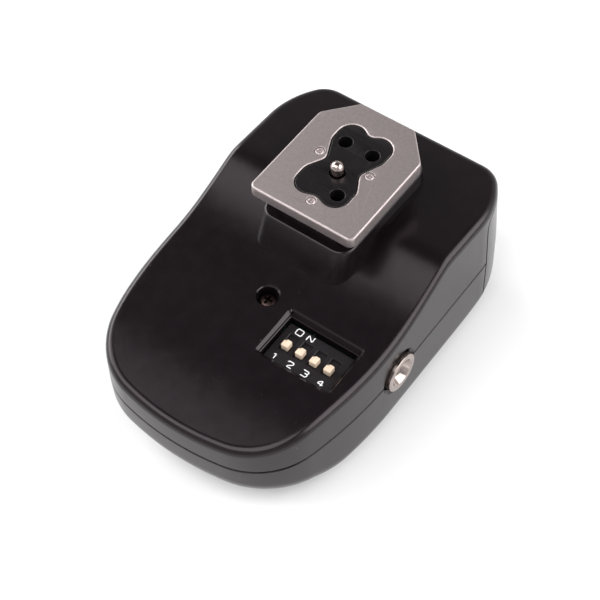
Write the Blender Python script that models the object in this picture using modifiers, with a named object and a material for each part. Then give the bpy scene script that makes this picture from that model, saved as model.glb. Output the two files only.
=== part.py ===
"""Wireless flash trigger: a palm-sized radio transmitter with an accessory-shoe foot.

The casing lies on its domed button side with the foot up. +X is the side with the sync
jack, +Y the battery end, +Z the foot. The origin is on the contact pin's axis, in the
flat land that the casing rests on. Lengths are millimetres times MM, so metres.
"""

from math import cos, exp, log1p, pi, radians, sin, tan

import bmesh
import bpy
from mathutils import Matrix, Vector

MM = 0.001

# ---- Driving dimensions ---------------------------------------------------------------
HEIGHT = 31.0 * MM  # foot plate's face above the resting land
PARTING_Z = 12.2 * MM  # joint between the two shells, at the sync jack's middle
WALL = 1.7 * MM  # casing wall
GAP = 0.3 * MM  # clearance between neighbouring pieces

# Lip that locates the foot-side shell on the button-side one
LIP_THICK = 0.7 * MM
LIP_RISE = 0.9 * MM
LIP_LOW_Z = 10.6 * MM
LIP_REAR_Y = 6.2 * MM

# Plan outline, right half: tangent arcs (radius, turn, steps) from the nose, a straight
# flank and the arcs of the rear corner.
NOSE_Y = -42.35 * MM
PLAN_ARCS = (
    (46.2 * MM, radians(11.3), 3),
    (12.1 * MM, radians(64.6), 7),
    (70.9 * MM, radians(14.3), 12),
)
REAR_Y = 20.0 * MM
REAR_ARCS = (
    (15.5 * MM, radians(34.8), 4),
    (5.0 * MM, radians(55.0), 4),
)
FLANK_STEPS = 10
WALL_LEAN = 0.035  # inward draught of the wall above the parting line

# Foot-side face: a level front, a concave slope and a plateau behind a crease
FRONT_Z = 19.3 * MM
PLATEAU_Z = 24.25 * MM
PLATEAU_FALL = 0.05
SLOPE = 0.42
SLOPE_Y = -12.4 * MM
SLOPE_BLEND = 2.6 * MM
CREASE_BLEND = 0.25 * MM
DROOP = 0.26
DROOP_Y = -31.1 * MM
DROOP_BLEND = 1.6 * MM
TOP_ROUND = 1.3 * MM

# Button-side face: a flat land that lifts towards both ends
LAND_FRONT_Y = -25.0 * MM
LAND_REAR_Y = 4.0 * MM
NOSE_LIFT = 4.5 * MM
NOSE_RUN = 13.0 * MM
REAR_LIFT = 2.6 * MM
REAR_RUN = 14.0 * MM
BASE_ROUND = 4.6 * MM

# Accessory-shoe foot
PLATE_WIDTH = 18.6 * MM
PLATE_THICK = 2.0 * MM
PLATE_FRONT_Y = -9.5 * MM
PLATE_REAR_Y = 13.3 * MM
PLATE_CHAMFER = (4.45 * MM, 5.0 * MM)
PLATE_CORNER = 1.05 * MM
LEDGE_Z = 26.0 * MM  # pedestal's ledge under the shoe rails
NECK_HALF_WIDTH = 6.0 * MM
BLOCK_Z = 26.6 * MM  # underside of the contact block
PEDESTAL_CEILING = 24.9 * MM  # roof of the hollow inside the pedestal
TERMINAL_Z = 19.2 * MM
PIN_RADIUS = 1.05 * MM
PIN_PROUD = 2.0 * MM
SPARE_PIN_RADIUS = 1.12 * MM
SPARE_PIN_HOLES = (
    (-2.5 * MM, 5.6 * MM),
    (2.4 * MM, 5.6 * MM),
    (2.5 * MM, -3.5 * MM),
)
RIVET_RADIUS = 0.7 * MM
RIVETS = {
    "foot_rivet_left": (-4.6 * MM, 1.9 * MM),
    "foot_rivet_right": (4.4 * MM, 2.0 * MM),
    "foot_rivet_front": (0.0 * MM, -6.6 * MM),
}

# Battery end
SEAM_Y = 10.75 * MM  # door's front edge at the parting plane
SEAM_TILT = radians(-1.2)
SEAM_TOP_Z = 22.1 * MM
SEAM_CORNER = 2.2 * MM
CELL_RADIUS = 5.15 * MM
CELL_LENGTH = 28.5 * MM
CELL_Y = 12.8 * MM
CELL_Z = 9.4 * MM
BAY_WALL_Y = 6.3 * MM
LEAD_RADIUS = 0.45 * MM

# Circuit board
BOARD_Z = (11.8 * MM, 13.4 * MM)
BOARD_REAR_Y = 5.7 * MM
BOARD_EDGE = 2.95 * MM  # set in from the casing's outline

# Screws and their bosses
CASE_SCREW = (-0.4 * MM, -17.6 * MM)
CASE_BOSS_RADIUS = 2.9 * MM
BOARD_SCREWS = {
    "board_screw_left": (-14.6 * MM, -3.4 * MM),
    "board_screw_right": (14.2 * MM, -5.2 * MM),
}
SHANK = 0.8 * MM
BOSS_RADIUS = 2.1 * MM

# Channel switch, sync jack, test button and indicator
DIP_X = 10.45 * MM
DIP_Y = (-25.6 * MM, -18.65 * MM)
DIP_Z = (13.6 * MM, 17.9 * MM)
DIP_PITCH = 2.54 * MM
DIP_TRAVEL = 1.2 * MM
SLIDER_Y = -22.4 * MM
SURROUND_Y = (-26.1 * MM, -17.55 * MM)
SURROUND_DEPTH = 0.55 * MM
JACK_Y = -13.5 * MM
JACK_RADIUS = 3.22 * MM
JACK_BORE = 1.8 * MM
JACK_FACE_X = 21.15 * MM
JACK_BODY_X = (7.6 * MM, 18.3 * MM)
JACK_BODY_HALF = 3.1 * MM
BUTTON_Y = -9.0 * MM
BUTTON_RADIUS = 4.2 * MM
LED_Y = -24.5 * MM
LED_RADIUS = 1.5 * MM

# ---- Scene and collections ------------------------------------------------------------
for old in list(bpy.data.objects):
    bpy.data.objects.remove(old, do_unlink=True)

PARTS = bpy.data.collections.new("wireless_flash_trigger")
CUTTERS = bpy.data.collections.new("cutters")
bpy.context.scene.collection.children.link(PARTS)
bpy.context.scene.collection.children.link(CUTTERS)

MATERIALS = {}


def finish(name, colour, roughness, metallic):
    material = bpy.data.materials.new(name)
    material.use_nodes = True
    shader = material.node_tree.nodes["Principled BSDF"]
    shader.inputs["Base Color"].default_value = (*colour, 1.0)
    shader.inputs["Roughness"].default_value = roughness
    shader.inputs["Metallic"].default_value = metallic
    MATERIALS[name] = material


finish("casing_black", (0.018, 0.017, 0.018), 0.42, 0.0)
finish("insert_black", (0.012, 0.012, 0.013), 0.3, 0.0)
finish("foot_metal", (0.47, 0.43, 0.42), 0.38, 1.0)
finish("nickel", (0.72, 0.66, 0.62), 0.18, 1.0)
finish("screw_black", (0.05, 0.035, 0.03), 0.3, 1.0)
finish("spring_steel", (0.6, 0.6, 0.6), 0.25, 1.0)
finish("board_green", (0.03, 0.16, 0.07), 0.45, 0.0)
finish("dip_black", (0.02, 0.02, 0.02), 0.5, 0.0)
finish("knob_ivory", (0.78, 0.62, 0.5), 0.5, 0.0)
finish("chip_black", (0.025, 0.025, 0.028), 0.55, 0.0)
finish("copper", (0.8, 0.42, 0.24), 0.3, 1.0)
finish("led_red", (0.6, 0.03, 0.03), 0.15, 0.0)
finish("cell_label", (0.2, 0.22, 0.26), 0.4, 0.0)
finish("lead_red", (0.5, 0.03, 0.03), 0.5, 0.0)
finish("lead_black", (0.02, 0.02, 0.02), 0.5, 0.0)


# ---- Modelling helpers ----------------------------------------------------------------
def add_object(name, mesh, material=None):
    """Links a mesh as a part when it has a material, otherwise as a cutter."""
    obj = bpy.data.objects.new(name, mesh)
    if material:
        mesh.materials.append(MATERIALS[material])
        PARTS.objects.link(obj)
    else:
        obj.hide_render = True
        obj.display_type = "WIRE"
        CUTTERS.objects.link(obj)
    return obj


def mesh_from(bm, name):
    mesh = bpy.data.meshes.new(name)
    bm.to_mesh(mesh)
    bm.free()
    return mesh


def box(name, xs, ys, zs, material=None):
    bm = bmesh.new()
    size = Vector((xs[1] - xs[0], ys[1] - ys[0], zs[1] - zs[0]))
    bmesh.ops.create_cube(bm, size=1.0, matrix=Matrix.Diagonal((*size, 1.0)))
    obj = add_object(name, mesh_from(bm, name), material)
    obj.location = (sum(xs) / 2, sum(ys) / 2, sum(zs) / 2)
    return obj


def rod(name, radius, start, end, sides=24, material=None):
    """A cylinder between two points."""
    start, end = Vector(start), Vector(end)
    length = (end - start).length
    bm = bmesh.new()
    bmesh.ops.create_cone(
        bm, cap_ends=True, segments=sides, radius1=radius, radius2=radius, depth=length
    )
    mesh = mesh_from(bm, name)
    mesh.shade_smooth()
    mesh.set_sharp_from_angle(angle=radians(30))
    obj = add_object(name, mesh, material)
    obj.location = (start + end) / 2
    obj.rotation_mode = "QUATERNION"
    obj.rotation_quaternion = (end - start).to_track_quat("Z", "Y")
    return obj


def turned(name, profile, location, material, sides=24, rotation=(0.0, 0.0, 0.0)):
    """A body of revolution about local Z from (radius, z) points, listed top to bottom."""
    mesh = bpy.data.meshes.new(name)
    verts = [(radius, 0.0, z) for radius, z in profile]
    edges = [(i, i + 1) for i in range(len(verts) - 1)]
    mesh.from_pydata(verts, edges, [])
    obj = add_object(name, mesh, material)
    obj.location = location
    obj.rotation_euler = rotation
    screw = obj.modifiers.new("turn", "SCREW")
    screw.steps = sides
    screw.render_steps = sides
    screw.use_merge_vertices = True
    screw.merge_threshold = 0.00001
    return obj


def rounded(corners, quarter_steps=4):
    """Closed outline from (x, y, radius) corners, each rounded by an arc."""
    outline = []
    count = len(corners)
    for i, (x, y, radius) in enumerate(corners):
        here = Vector((x, y))
        before = (Vector(corners[i - 1][:2]) - here).normalized()
        after = (Vector(corners[(i + 1) % count][:2]) - here).normalized()
        half = before.angle(after) / 2
        if radius == 0.0 or half > pi / 2 - 0.01:
            outline.append((x, y))
            continue
        reach = radius / tan(half)
        centre = here + (before + after).normalized() * (radius / sin(half))
        start = here + before * reach - centre
        sweep = pi - 2 * half
        if before.x * after.y - before.y * after.x > 0:
            sweep = -sweep
        steps = max(1, round(abs(sweep) / (pi / 2) * quarter_steps))
        for k in range(steps + 1):
            arm = start.copy()
            arm.rotate(Matrix.Rotation(sweep * k / steps, 2))
            outline.append(tuple(centre + arm))
    return outline


def rectangle(half_x, ys, radius):
    return [
        (-half_x, ys[0], radius),
        (half_x, ys[0], radius),
        (half_x, ys[1], radius),
        (-half_x, ys[1], radius),
    ]


def circle(x, y, radius, sides=16):
    turns = [2 * pi * k / sides for k in range(sides)]
    return [(x + radius * cos(t), y + radius * sin(t)) for t in turns]


def slab(name, outlines, zs, material=None):
    """A flat piece between two heights; outlines after the first are its holes."""
    curve = bpy.data.curves.new(name, "CURVE")
    curve.dimensions = "2D"
    curve.fill_mode = "BOTH"
    curve.extrude = (zs[1] - zs[0]) / 2
    for outline in outlines:
        spline = curve.splines.new("POLY")
        spline.points.add(len(outline) - 1)
        for point, (x, y) in zip(spline.points, outline):
            point.co = (x, y, 0.0, 1.0)
        spline.use_cyclic_u = True
    return as_mesh(name, curve, Matrix.Translation((0, 0, sum(zs) / 2)), material)


def as_mesh(name, curve, matrix, material):
    """Turns a curve into a welded mesh object, so that it can be cut or cut others."""
    source = bpy.data.objects.new(name + "_curve", curve)
    bpy.context.scene.collection.objects.link(source)
    depsgraph = bpy.context.evaluated_depsgraph_get()
    mesh = bpy.data.meshes.new_from_object(source.evaluated_get(depsgraph))
    bpy.data.objects.remove(source, do_unlink=True)
    bm = bmesh.new()
    bm.from_mesh(mesh)
    bmesh.ops.remove_doubles(bm, verts=bm.verts, dist=0.000005)
    bmesh.ops.recalc_face_normals(bm, faces=bm.faces)
    bm.to_mesh(mesh)
    bm.free()
    mesh.materials.clear()
    obj = add_object(name, mesh, material)
    obj.matrix_world = matrix
    return obj


def wire(name, points, radius, material):
    """A round wire or lead along the points."""
    curve = bpy.data.curves.new(name, "CURVE")
    curve.dimensions = "3D"
    curve.bevel_depth = radius
    curve.bevel_resolution = 2
    curve.use_fill_caps = True
    spline = curve.splines.new("POLY")
    spline.points.add(len(points) - 1)
    for point, co in zip(spline.points, points):
        point.co = (*co, 1.0)
    return as_mesh(name, curve, Matrix.Identity(4), material)


def smooth_route(anchors, steps):
    """Catmull-Rom points through the anchors."""
    ends = [anchors[0]] + list(anchors) + [anchors[-1]]
    ends = [Vector(p) for p in ends]
    route = []
    for a, b, c, d in zip(ends, ends[1:], ends[2:], ends[3:]):
        for k in range(steps):
            t = k / steps
            bend = 2 * b + (c - a) * t + (2 * a - 5 * b + 4 * c - d) * t**2
            route.append((bend + (3 * b - a - 3 * c + d) * t**3) / 2)
    route.append(ends[-1])
    return route


def coil(name, radii, zs, turns, wire_radius, matrix, material, per_turn=9):
    """A helical spring along local Z whose radius and height run between the pairs."""
    points = []
    count = round(turns * per_turn)
    for k in range(count + 1):
        share = k / count
        radius = radii[0] + (radii[1] - radii[0]) * share
        z = zs[0] + (zs[1] - zs[0]) * share
        turn = 2 * pi * turns * share
        points.append(matrix @ Vector((radius * cos(turn), radius * sin(turn), z)))
    return wire(name, points, wire_radius, material)


def boolean(obj, tool, operation):
    modifier = obj.modifiers.new(operation.lower() + "_" + tool.name, "BOOLEAN")
    modifier.operation = operation
    modifier.object = tool
    modifier.solver = "EXACT"


def cut(obj, *tools):
    for tool in tools:
        boolean(obj, tool, "DIFFERENCE")


def join(obj, *tools):
    for tool in tools:
        boolean(obj, tool, "UNION")


# ---- Casing surface -------------------------------------------------------------------
def ramp(distance, blend):
    """Zero before zero and rising at one to one after it, with a soft start."""
    return blend * log1p(exp(distance / blend))


def foot_side_height(y):
    plateau = PLATEAU_Z - PLATEAU_FALL * y
    slope = FRONT_Z + SLOPE * ramp(y - SLOPE_Y, SLOPE_BLEND)
    upper = plateau - ramp(plateau - slope, CREASE_BLEND)
    return upper - DROOP * ramp(DROOP_Y - y, DROOP_BLEND)


def button_side_height(y):
    if y < LAND_FRONT_Y:
        share = min(1.0, (LAND_FRONT_Y - y) / NOSE_RUN)
        return NOSE_LIFT * share**2 * (3 - 2 * share)
    if y > LAND_REAR_Y:
        return REAR_LIFT * ((y - LAND_REAR_Y) / REAR_RUN) ** 2
    return 0.0


def outward(heading):
    """Outward normal of the plan outline where it runs along a heading."""
    return Vector((sin(heading), -cos(heading)))


def follow_arcs(here, heading, arcs):
    """Points and normals along tangent arcs, with the place and heading at their end."""
    rail = []
    for radius, turn, steps in arcs:
        centre = here - outward(heading) * radius
        for k in range(steps):
            normal = outward(heading + turn * k / steps)
            rail.append((centre + normal * radius, normal))
        heading += turn
        here = centre + outward(heading) * radius
    return rail, here, heading


def plan_half():
    """Right half of the plan outline from the nose to the rear corner: (point, normal)."""
    nose, here, heading = follow_arcs(Vector((0.0, NOSE_Y)), 0.0, PLAN_ARCS)
    corner, corner_end, _ = follow_arcs(Vector((0.0, 0.0)), heading, REAR_ARCS)
    normal = outward(heading)
    along = Vector((-normal.y, normal.x))
    flank = (REAR_Y - corner_end.y - here.y) / along.y
    steps = range(FLANK_STEPS)
    straight = [(here + along * (flank * k / FLANK_STEPS), normal) for k in steps]
    start = here + along * flank
    corner.append((corner_end, outward(pi)))
    return nose + straight + [(start + point, normal) for point, normal in corner]


def casing_form(name, inset, top_steps, base_steps, material=None):
    """The closed outer form of the casing, set in from its surface by inset."""
    top_round = max(TOP_ROUND - inset, 0.3 * MM)
    base_round = BASE_ROUND - inset
    rail = plan_half()
    levels = []
    for k in range(base_steps + 1):
        angle = pi / 2 * (1 - k / base_steps)
        levels.append((base_round * (1 - cos(angle)), base_round * (1 - sin(angle)), "base"))
    levels.append((0.0, 0.0, "parting"))
    for k in range(top_steps + 1):
        angle = pi / 2 * k / top_steps
        levels.append((top_round * (1 - cos(angle)), top_round * (sin(angle) - 1), "top"))

    bm = bmesh.new()
    rings = []
    for set_in, lift, zone in levels:
        right = []
        for point, normal in rail:
            if zone == "top":
                edge = point - normal * (inset + top_round)
                z = foot_side_height(edge.y) - inset + lift
            elif zone == "base":
                edge = point - normal * (inset + base_round)
                z = button_side_height(edge.y) + inset + lift
            else:
                z = PARTING_Z
            lean = WALL_LEAN * max(0.0, z - PARTING_Z)
            place = point - normal * (inset + set_in + lean)
            right.append((place.x, place.y, z))
        left = [(-x, y, z) for x, y, z in right[:0:-1]]
        rings.append([bm.verts.new(co) for co in right + left])

    count = len(rings[0])
    for lower, upper in zip(rings, rings[1:]):
        for i in range(count):
            j = (i + 1) % count
            bm.faces.new((lower[i], lower[j], upper[j], upper[i]))
    for ring, upward in ((rings[0], False), (rings[-1], True)):
        for i in range(len(rail) - 1):
            strip = [ring[-i], ring[i], ring[i + 1], ring[-i - 1]]
            if i == 0:
                strip = strip[1:]
            bm.faces.new(strip if upward else strip[::-1])
    return add_object(name, mesh_from(bm, name), material)


# ---- Shared cutters -------------------------------------------------------------------
SPAN = 60 * MM  # longer than the whole casing each way


def door_region(name, grow):
    """Space taken by the battery door, seen along X and grown by a clearance."""
    lean = tan(SEAM_TILT)
    top = SEAM_TOP_Z + grow
    low = -5 * MM
    edge = SEAM_Y - grow
    corners = [
        (edge + (PARTING_Z - low) * lean, low, 0.0),
        (SPAN, low, 0.0),
        (SPAN, top, 0.0),
        (edge + (PARTING_Z - top) * lean, top, SEAM_CORNER + grow),
    ]
    tool = slab(name, [rounded(corners, 6)], (-SPAN, SPAN))
    tool.matrix_world = Matrix.Rotation(pi / 2, 4, "Z") @ Matrix.Rotation(pi / 2, 4, "X")
    return tool


inner_form = casing_form("inner_form", WALL, 1, 3)
below_parting = box(
    "below_parting", (-SPAN, SPAN), (-SPAN, SPAN), (-SPAN, PARTING_Z + GAP / 2)
)
above_parting = box(
    "above_parting", (-SPAN, SPAN), (-SPAN, SPAN), (PARTING_Z - GAP / 2, SPAN)
)
door_space = door_region("door_space", GAP / 2)
door_limit = door_region("door_limit", -GAP / 2)
jack_clearance = rod(
    "jack_clearance",
    JACK_RADIUS + GAP,
    (17 * MM, JACK_Y, PARTING_Z),
    (25 * MM, JACK_Y, PARTING_Z),
)


jack_body_clearance = box(
    "jack_body_clearance",
    (JACK_BODY_X[0] - GAP, JACK_BODY_X[1] + GAP),
    (JACK_Y - JACK_BODY_HALF - GAP, JACK_Y + JACK_BODY_HALF + GAP),
    (PARTING_Z - JACK_BODY_HALF, PARTING_Z + JACK_BODY_HALF),
)


def plan_slab(name, inset, zs, material=None, rear_y=None):
    """The casing's plan outline, set in, as a flat piece; rear_y cuts it short."""
    right = [point - normal * inset for point, normal in plan_half()]
    if rear_y is not None:
        right = [p for p in right if p.y < rear_y - 1 * MM]
        right.append(Vector((right[-1].x, rear_y)))
    left = [Vector((-p.x, p.y)) for p in right[:0:-1]]
    return slab(name, [[tuple(p) for p in right + left]], zs, material)


def loft(name, sections, material=None):
    """A closed solid through outlines with equal point counts, listed upwards."""
    bm = bmesh.new()
    rings = []
    for outline, z in sections:
        rings.append([bm.verts.new((x, y, z)) for x, y in outline])
    for lower, upper in zip(rings, rings[1:]):
        for i in range(len(lower)):
            j = (i + 1) % len(lower)
            bm.faces.new((lower[i], lower[j], upper[j], upper[i]))
    bm.faces.new(rings[0][::-1])
    bm.faces.new(rings[-1])
    return add_object(name, mesh_from(bm, name), material)


def bow_tie(grow):
    """Outline of the contact block: two lobed ends joined by a waist."""
    right = [
        (0.0, -5.29, 1.6),
        (4.65, -6.98, 2.3),
        (4.65, -1.66, 2.5),
        (2.95, 1.35, 1.6),
        (4.65, 5.12, 2.5),
        (4.65, 11.69, 2.3),
        (0.0, 8.06, 1.5),
    ]
    corners = right + [(-x, y, r) for x, y, r in right[-2:0:-1]]
    outline = [Vector(p) * MM for p in rounded(corners, 4)]
    grown = []
    for i, here in enumerate(outline):
        along = outline[(i + 1) % len(outline)] - outline[i - 1]
        grown.append(tuple(here + Vector((along.y, -along.x)).normalized() * grow))
    return grown


# ---- Accessory-shoe foot --------------------------------------------------------------
def make_foot():
    half = PLATE_WIDTH / 2
    chamfer_x, chamfer_y = PLATE_CHAMFER
    plate_outline = rounded(
        [
            (-half, PLATE_FRONT_Y, PLATE_CORNER),
            (half, PLATE_FRONT_Y, PLATE_CORNER),
            (half, PLATE_REAR_Y - chamfer_y, PLATE_CORNER),
            (half - chamfer_x, PLATE_REAR_Y, PLATE_CORNER),
            (-half + chamfer_x, PLATE_REAR_Y, PLATE_CORNER),
            (-half, PLATE_REAR_Y - chamfer_y, PLATE_CORNER),
        ],
        2,
    )
    holes = [circle(x, y, RIVET_RADIUS + GAP / 2, 12) for x, y in RIVETS.values()]
    plate_zs = (HEIGHT - PLATE_THICK, HEIGHT)
    slab("foot_plate", [plate_outline, bow_tie(GAP)] + holes, plate_zs, "foot_metal")

    block_top = HEIGHT - 0.15 * MM
    pin_holes = [circle(x, y, SPARE_PIN_RADIUS, 12) for x, y in SPARE_PIN_HOLES]
    pin_holes.append(circle(0.0, 0.0, PIN_RADIUS + GAP, 16))
    slab("contact_block", [bow_tie(0.0)] + pin_holes, (BLOCK_Z, block_top), "insert_black")

    for name, (x, y) in RIVETS.items():
        head_z = PEDESTAL_CEILING - 0.2 * MM
        profile = [
            (0.0, HEIGHT - 0.05 * MM),
            (RIVET_RADIUS, HEIGHT - 0.05 * MM),
            (RIVET_RADIUS, head_z),
            (1.2 * MM, head_z),
            (1.2 * MM, head_z - 0.6 * MM),
            (0.0, head_z - 0.6 * MM),
        ]
        turned(name, profile, (x, y, 0.0), "foot_metal", 12)

    collar_top = BLOCK_Z - GAP
    collar_low = collar_top - 1.0 * MM
    tip = HEIGHT + PIN_PROUD
    ball = [
        (PIN_RADIUS * sin(a), tip - PIN_RADIUS * (1 - cos(a)))
        for a in (pi / 2 * k / 4 for k in range(5))
    ]
    profile = ball + [
        (PIN_RADIUS, collar_top),
        (1.8 * MM, collar_top),
        (1.8 * MM, collar_low),
        (0.7 * MM, collar_low),
        (0.7 * MM, 21.6 * MM),
        (0.0, 21.6 * MM),
    ]
    turned("centre_pin", profile, (0.0, 0.0, 0.0), "nickel", 16)
    coil(
        "centre_pin_spring",
        (1.35 * MM, 1.35 * MM),
        (TERMINAL_Z + 0.55 * MM, collar_low - 0.5 * MM),
        5,
        0.2 * MM,
        Matrix.Identity(4),
        "spring_steel",
    )
    box(
        "centre_pin_terminal",
        (-2.2 * MM, 2.2 * MM),
        (-3.6 * MM, 4.4 * MM),
        (TERMINAL_Z - 0.4 * MM, TERMINAL_Z),
        "nickel",
    )


# ---- Casing ---------------------------------------------------------------------------
def make_foot_side_shell():
    shell = casing_form("foot_side_shell", 0.0, 4, 5, "casing_black")
    cut(shell, inner_form, below_parting, door_space)

    pedestal = loft(
        "pedestal",
        [
            (rounded(rectangle(8.6 * MM, (-11.75 * MM, 13.2 * MM), 3.1 * MM)), 19.5 * MM),
            (rounded(rectangle(8.1 * MM, (-9.5 * MM, 12.5 * MM), 2.6 * MM)), LEDGE_Z - 0.5 * MM),
            (rounded(rectangle(7.8 * MM, (-9.2 * MM, 12.2 * MM), 2.3 * MM)), LEDGE_Z),
        ],
    )
    neck_outline = rounded(rectangle(NECK_HALF_WIDTH, (-7.8 * MM, 11.2 * MM), 1.5 * MM), 2)
    neck = slab("neck", [neck_outline], (LEDGE_Z - GAP, HEIGHT - PLATE_THICK - GAP))
    case_x, case_y = CASE_SCREW
    over_board = BOARD_Z[1] + GAP
    case_boss = rod(
        "case_boss", CASE_BOSS_RADIUS, (case_x, case_y, over_board), (case_x, case_y, FRONT_Z - 0.8 * MM)
    )
    join(shell, pedestal, neck, case_boss)
    for name, (x, y) in BOARD_SCREWS.items():
        roof = foot_side_height(y) - WALL / 2
        join(shell, rod(name + "_boss", BOSS_RADIUS, (x, y, over_board), (x, y, roof), 16))

    core = box(
        "pedestal_core",
        (-6.4 * MM, 6.4 * MM),
        (-8.6 * MM, 10.8 * MM),
        (10 * MM, PEDESTAL_CEILING),
    )
    spring_tube = rod(
        "spring_tube", 3.2 * MM, (0, 0, TERMINAL_Z + GAP), (0, 0, PEDESTAL_CEILING + WALL), 20
    )
    cut(core, spring_tube)
    cut(shell, core)
    cut(
        shell,
        slab("block_pocket", [bow_tie(GAP)], (BLOCK_Z - GAP, HEIGHT)),
        rod("spring_bore", 2.2 * MM, (0, 0, 10 * MM), (0, 0, HEIGHT), 20),
        jack_clearance,
    )
    for name, (x, y) in RIVETS.items():
        cut(shell, rod(name + "_hole", RIVET_RADIUS + GAP / 2, (x, y, 20 * MM), (x, y, HEIGHT), 12))
    for name, (x, y) in BOARD_SCREWS.items():
        cut(shell, rod(name + "_pilot", SHANK + GAP, (x, y, 10 * MM), (x, y, 18.2 * MM), 12))
    cut(
        shell,
        rod("screw_sink", 1.75 * MM, (case_x, case_y, 17.3 * MM), (case_x, case_y, 22 * MM)),
        rod("screw_passage", SHANK + GAP, (case_x, case_y, 10 * MM), (case_x, case_y, 18 * MM), 12),
    )
    window_xs, surround_xs = (4.4 * MM, 16.5 * MM), (4.15 * MM, 16.85 * MM)
    window_ys = (DIP_Y[0] - GAP, DIP_Y[1] + 0.4 * MM)
    cut(
        shell,
        box("dip_window", window_xs, window_ys, (10 * MM, 22 * MM)),
        box("dip_surround", surround_xs, SURROUND_Y, (FRONT_Z - SURROUND_DEPTH, 22 * MM)),
    )


def make_button_side_shell():
    shell = casing_form("button_side_shell", 0.0, 4, 5, "casing_black")
    cut(shell, inner_form, above_parting, door_space)
    case_x, case_y = CASE_SCREW
    under_board = BOARD_Z[0] - GAP
    wall_zs = (WALL / 2, under_board)
    join(
        shell,
        rod("case_pillar", 2.4 * MM, (case_x, case_y, WALL / 2), (case_x, case_y, under_board), 20),
        box("bay_wall", (-17.0 * MM, 17.0 * MM), (BAY_WALL_Y, BAY_WALL_Y + 1.0 * MM), wall_zs),
    )
    lip_root = plan_slab("lip_root", WALL - LIP_THICK, (LIP_LOW_Z, PARTING_Z - GAP), None, LIP_REAR_Y)
    lip = plan_slab("lip", WALL + GAP, (LIP_LOW_Z, PARTING_Z + LIP_RISE), None, LIP_REAR_Y)
    inside = WALL + GAP + LIP_THICK
    lip_inside = plan_slab("lip_inside", inside, (0.0, HEIGHT), None, LIP_REAR_Y + 1 * MM)
    for ring in (lip_root, lip):
        cut(ring, lip_inside, jack_body_clearance)
        join(shell, ring)
    cell_space = rod(
        "cell_space", CELL_RADIUS + GAP, (-SPAN, CELL_Y, CELL_Z), (SPAN, CELL_Y, CELL_Z), 32
    )
    for side in (-1, 1):
        middle = side * 9.0 * MM
        rib = box(
            "cradle_rib",
            (middle - 0.6 * MM, middle + 0.6 * MM),
            (BAY_WALL_Y + 0.5 * MM, 10.9 * MM),
            (3.0 * MM, 8.0 * MM),
        )
        cut(rib, cell_space)
        join(shell, rib)
    guide = rod(
        "button_guide", BUTTON_RADIUS + GAP + 1.0 * MM, (0, BUTTON_Y, WALL / 2), (0, BUTTON_Y, 3.2 * MM), 28
    )
    join(shell, guide)
    cut(
        shell,
        rod("button_hole", BUTTON_RADIUS + GAP, (0, BUTTON_Y, -2 * MM), (0, BUTTON_Y, 5 * MM), 28),
        rod("led_hole", LED_RADIUS + GAP, (0, LED_Y, -2 * MM), (0, LED_Y, 5 * MM), 16),
        rod("case_pilot", SHANK + GAP, (case_x, case_y, 4 * MM), (case_x, case_y, 14 * MM), 12),
        jack_clearance,
    )


def make_battery_door():
    door = casing_form("battery_door", 0.0, 4, 5, "casing_black")
    cut(door, inner_form)
    boolean(door, door_limit, "INTERSECT")
    cut(door, plan_slab("door_mouth", WALL, (15 * MM, 30 * MM)))
    tongue = box(
        "door_tongue", (-4.0 * MM, 4.0 * MM), (7.6 * MM, 13.0 * MM), (3.0 * MM, 3.8 * MM)
    )
    root = box(
        "tongue_root", (-4.0 * MM, 4.0 * MM), (11.3 * MM, 13.0 * MM), (1.8 * MM, 3.4 * MM)
    )
    join(door, tongue, root)


def make_screw(name, location, head_radius, head_top, head_thick, tip, flip):
    """A cross-headed screw; flip points its head downwards."""
    head_low = head_top - head_thick
    crown = head_radius * 0.6
    profile = [
        (0.0, head_top),
        (crown, head_top),
        (head_radius, head_top - 0.35 * MM),
        (head_radius, head_low),
        (SHANK, head_low),
        (SHANK, tip + SHANK),
        (0.25 * MM, tip),
        (0.0, tip),
    ]
    screw = turned(name, profile, location, "screw_black", 16)
    if flip:
        screw.rotation_euler = (pi, 0.0, 0.0)
    reach = head_radius * 0.62
    arm = 0.22 * MM
    low, high = head_top - 0.6 * MM, head_top + 1.0 * MM
    for half_x, half_y in ((reach, arm), (arm, reach)):
        slot = box(name + "_slot", (-half_x, half_x), (-half_y, half_y), (low, high))
        slot.parent = screw
        cut(screw, slot)


def make_fasteners():
    case_x, case_y = CASE_SCREW
    make_screw("case_screw", (case_x, case_y, 0), 1.45 * MM, 18.6 * MM, 1.0 * MM, 5.0 * MM, False)
    for name, (x, y) in BOARD_SCREWS.items():
        head_top = 1.1 * MM
        seat = BOARD_Z[0] - GAP
        make_screw(name, (x, y, seat), 1.6 * MM, head_top, head_top, -5.6 * MM, True)


# ---- Electronics ----------------------------------------------------------------------
def make_board():
    board = plan_slab("main_board", BOARD_EDGE, BOARD_Z, "board_green", BOARD_REAR_Y)
    notch = box(
        "jack_notch",
        (JACK_BODY_X[0] - GAP, SPAN),
        (JACK_Y - JACK_BODY_HALF - GAP, JACK_Y + JACK_BODY_HALF + GAP),
        (5 * MM, 20 * MM),
    )
    cut(board, notch)
    for name, (x, y) in [("case_screw", CASE_SCREW)] + list(BOARD_SCREWS.items()):
        cut(board, rod(name + "_board_hole", 1.2 * MM, (x, y, 5 * MM), (x, y, 20 * MM), 12))


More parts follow.
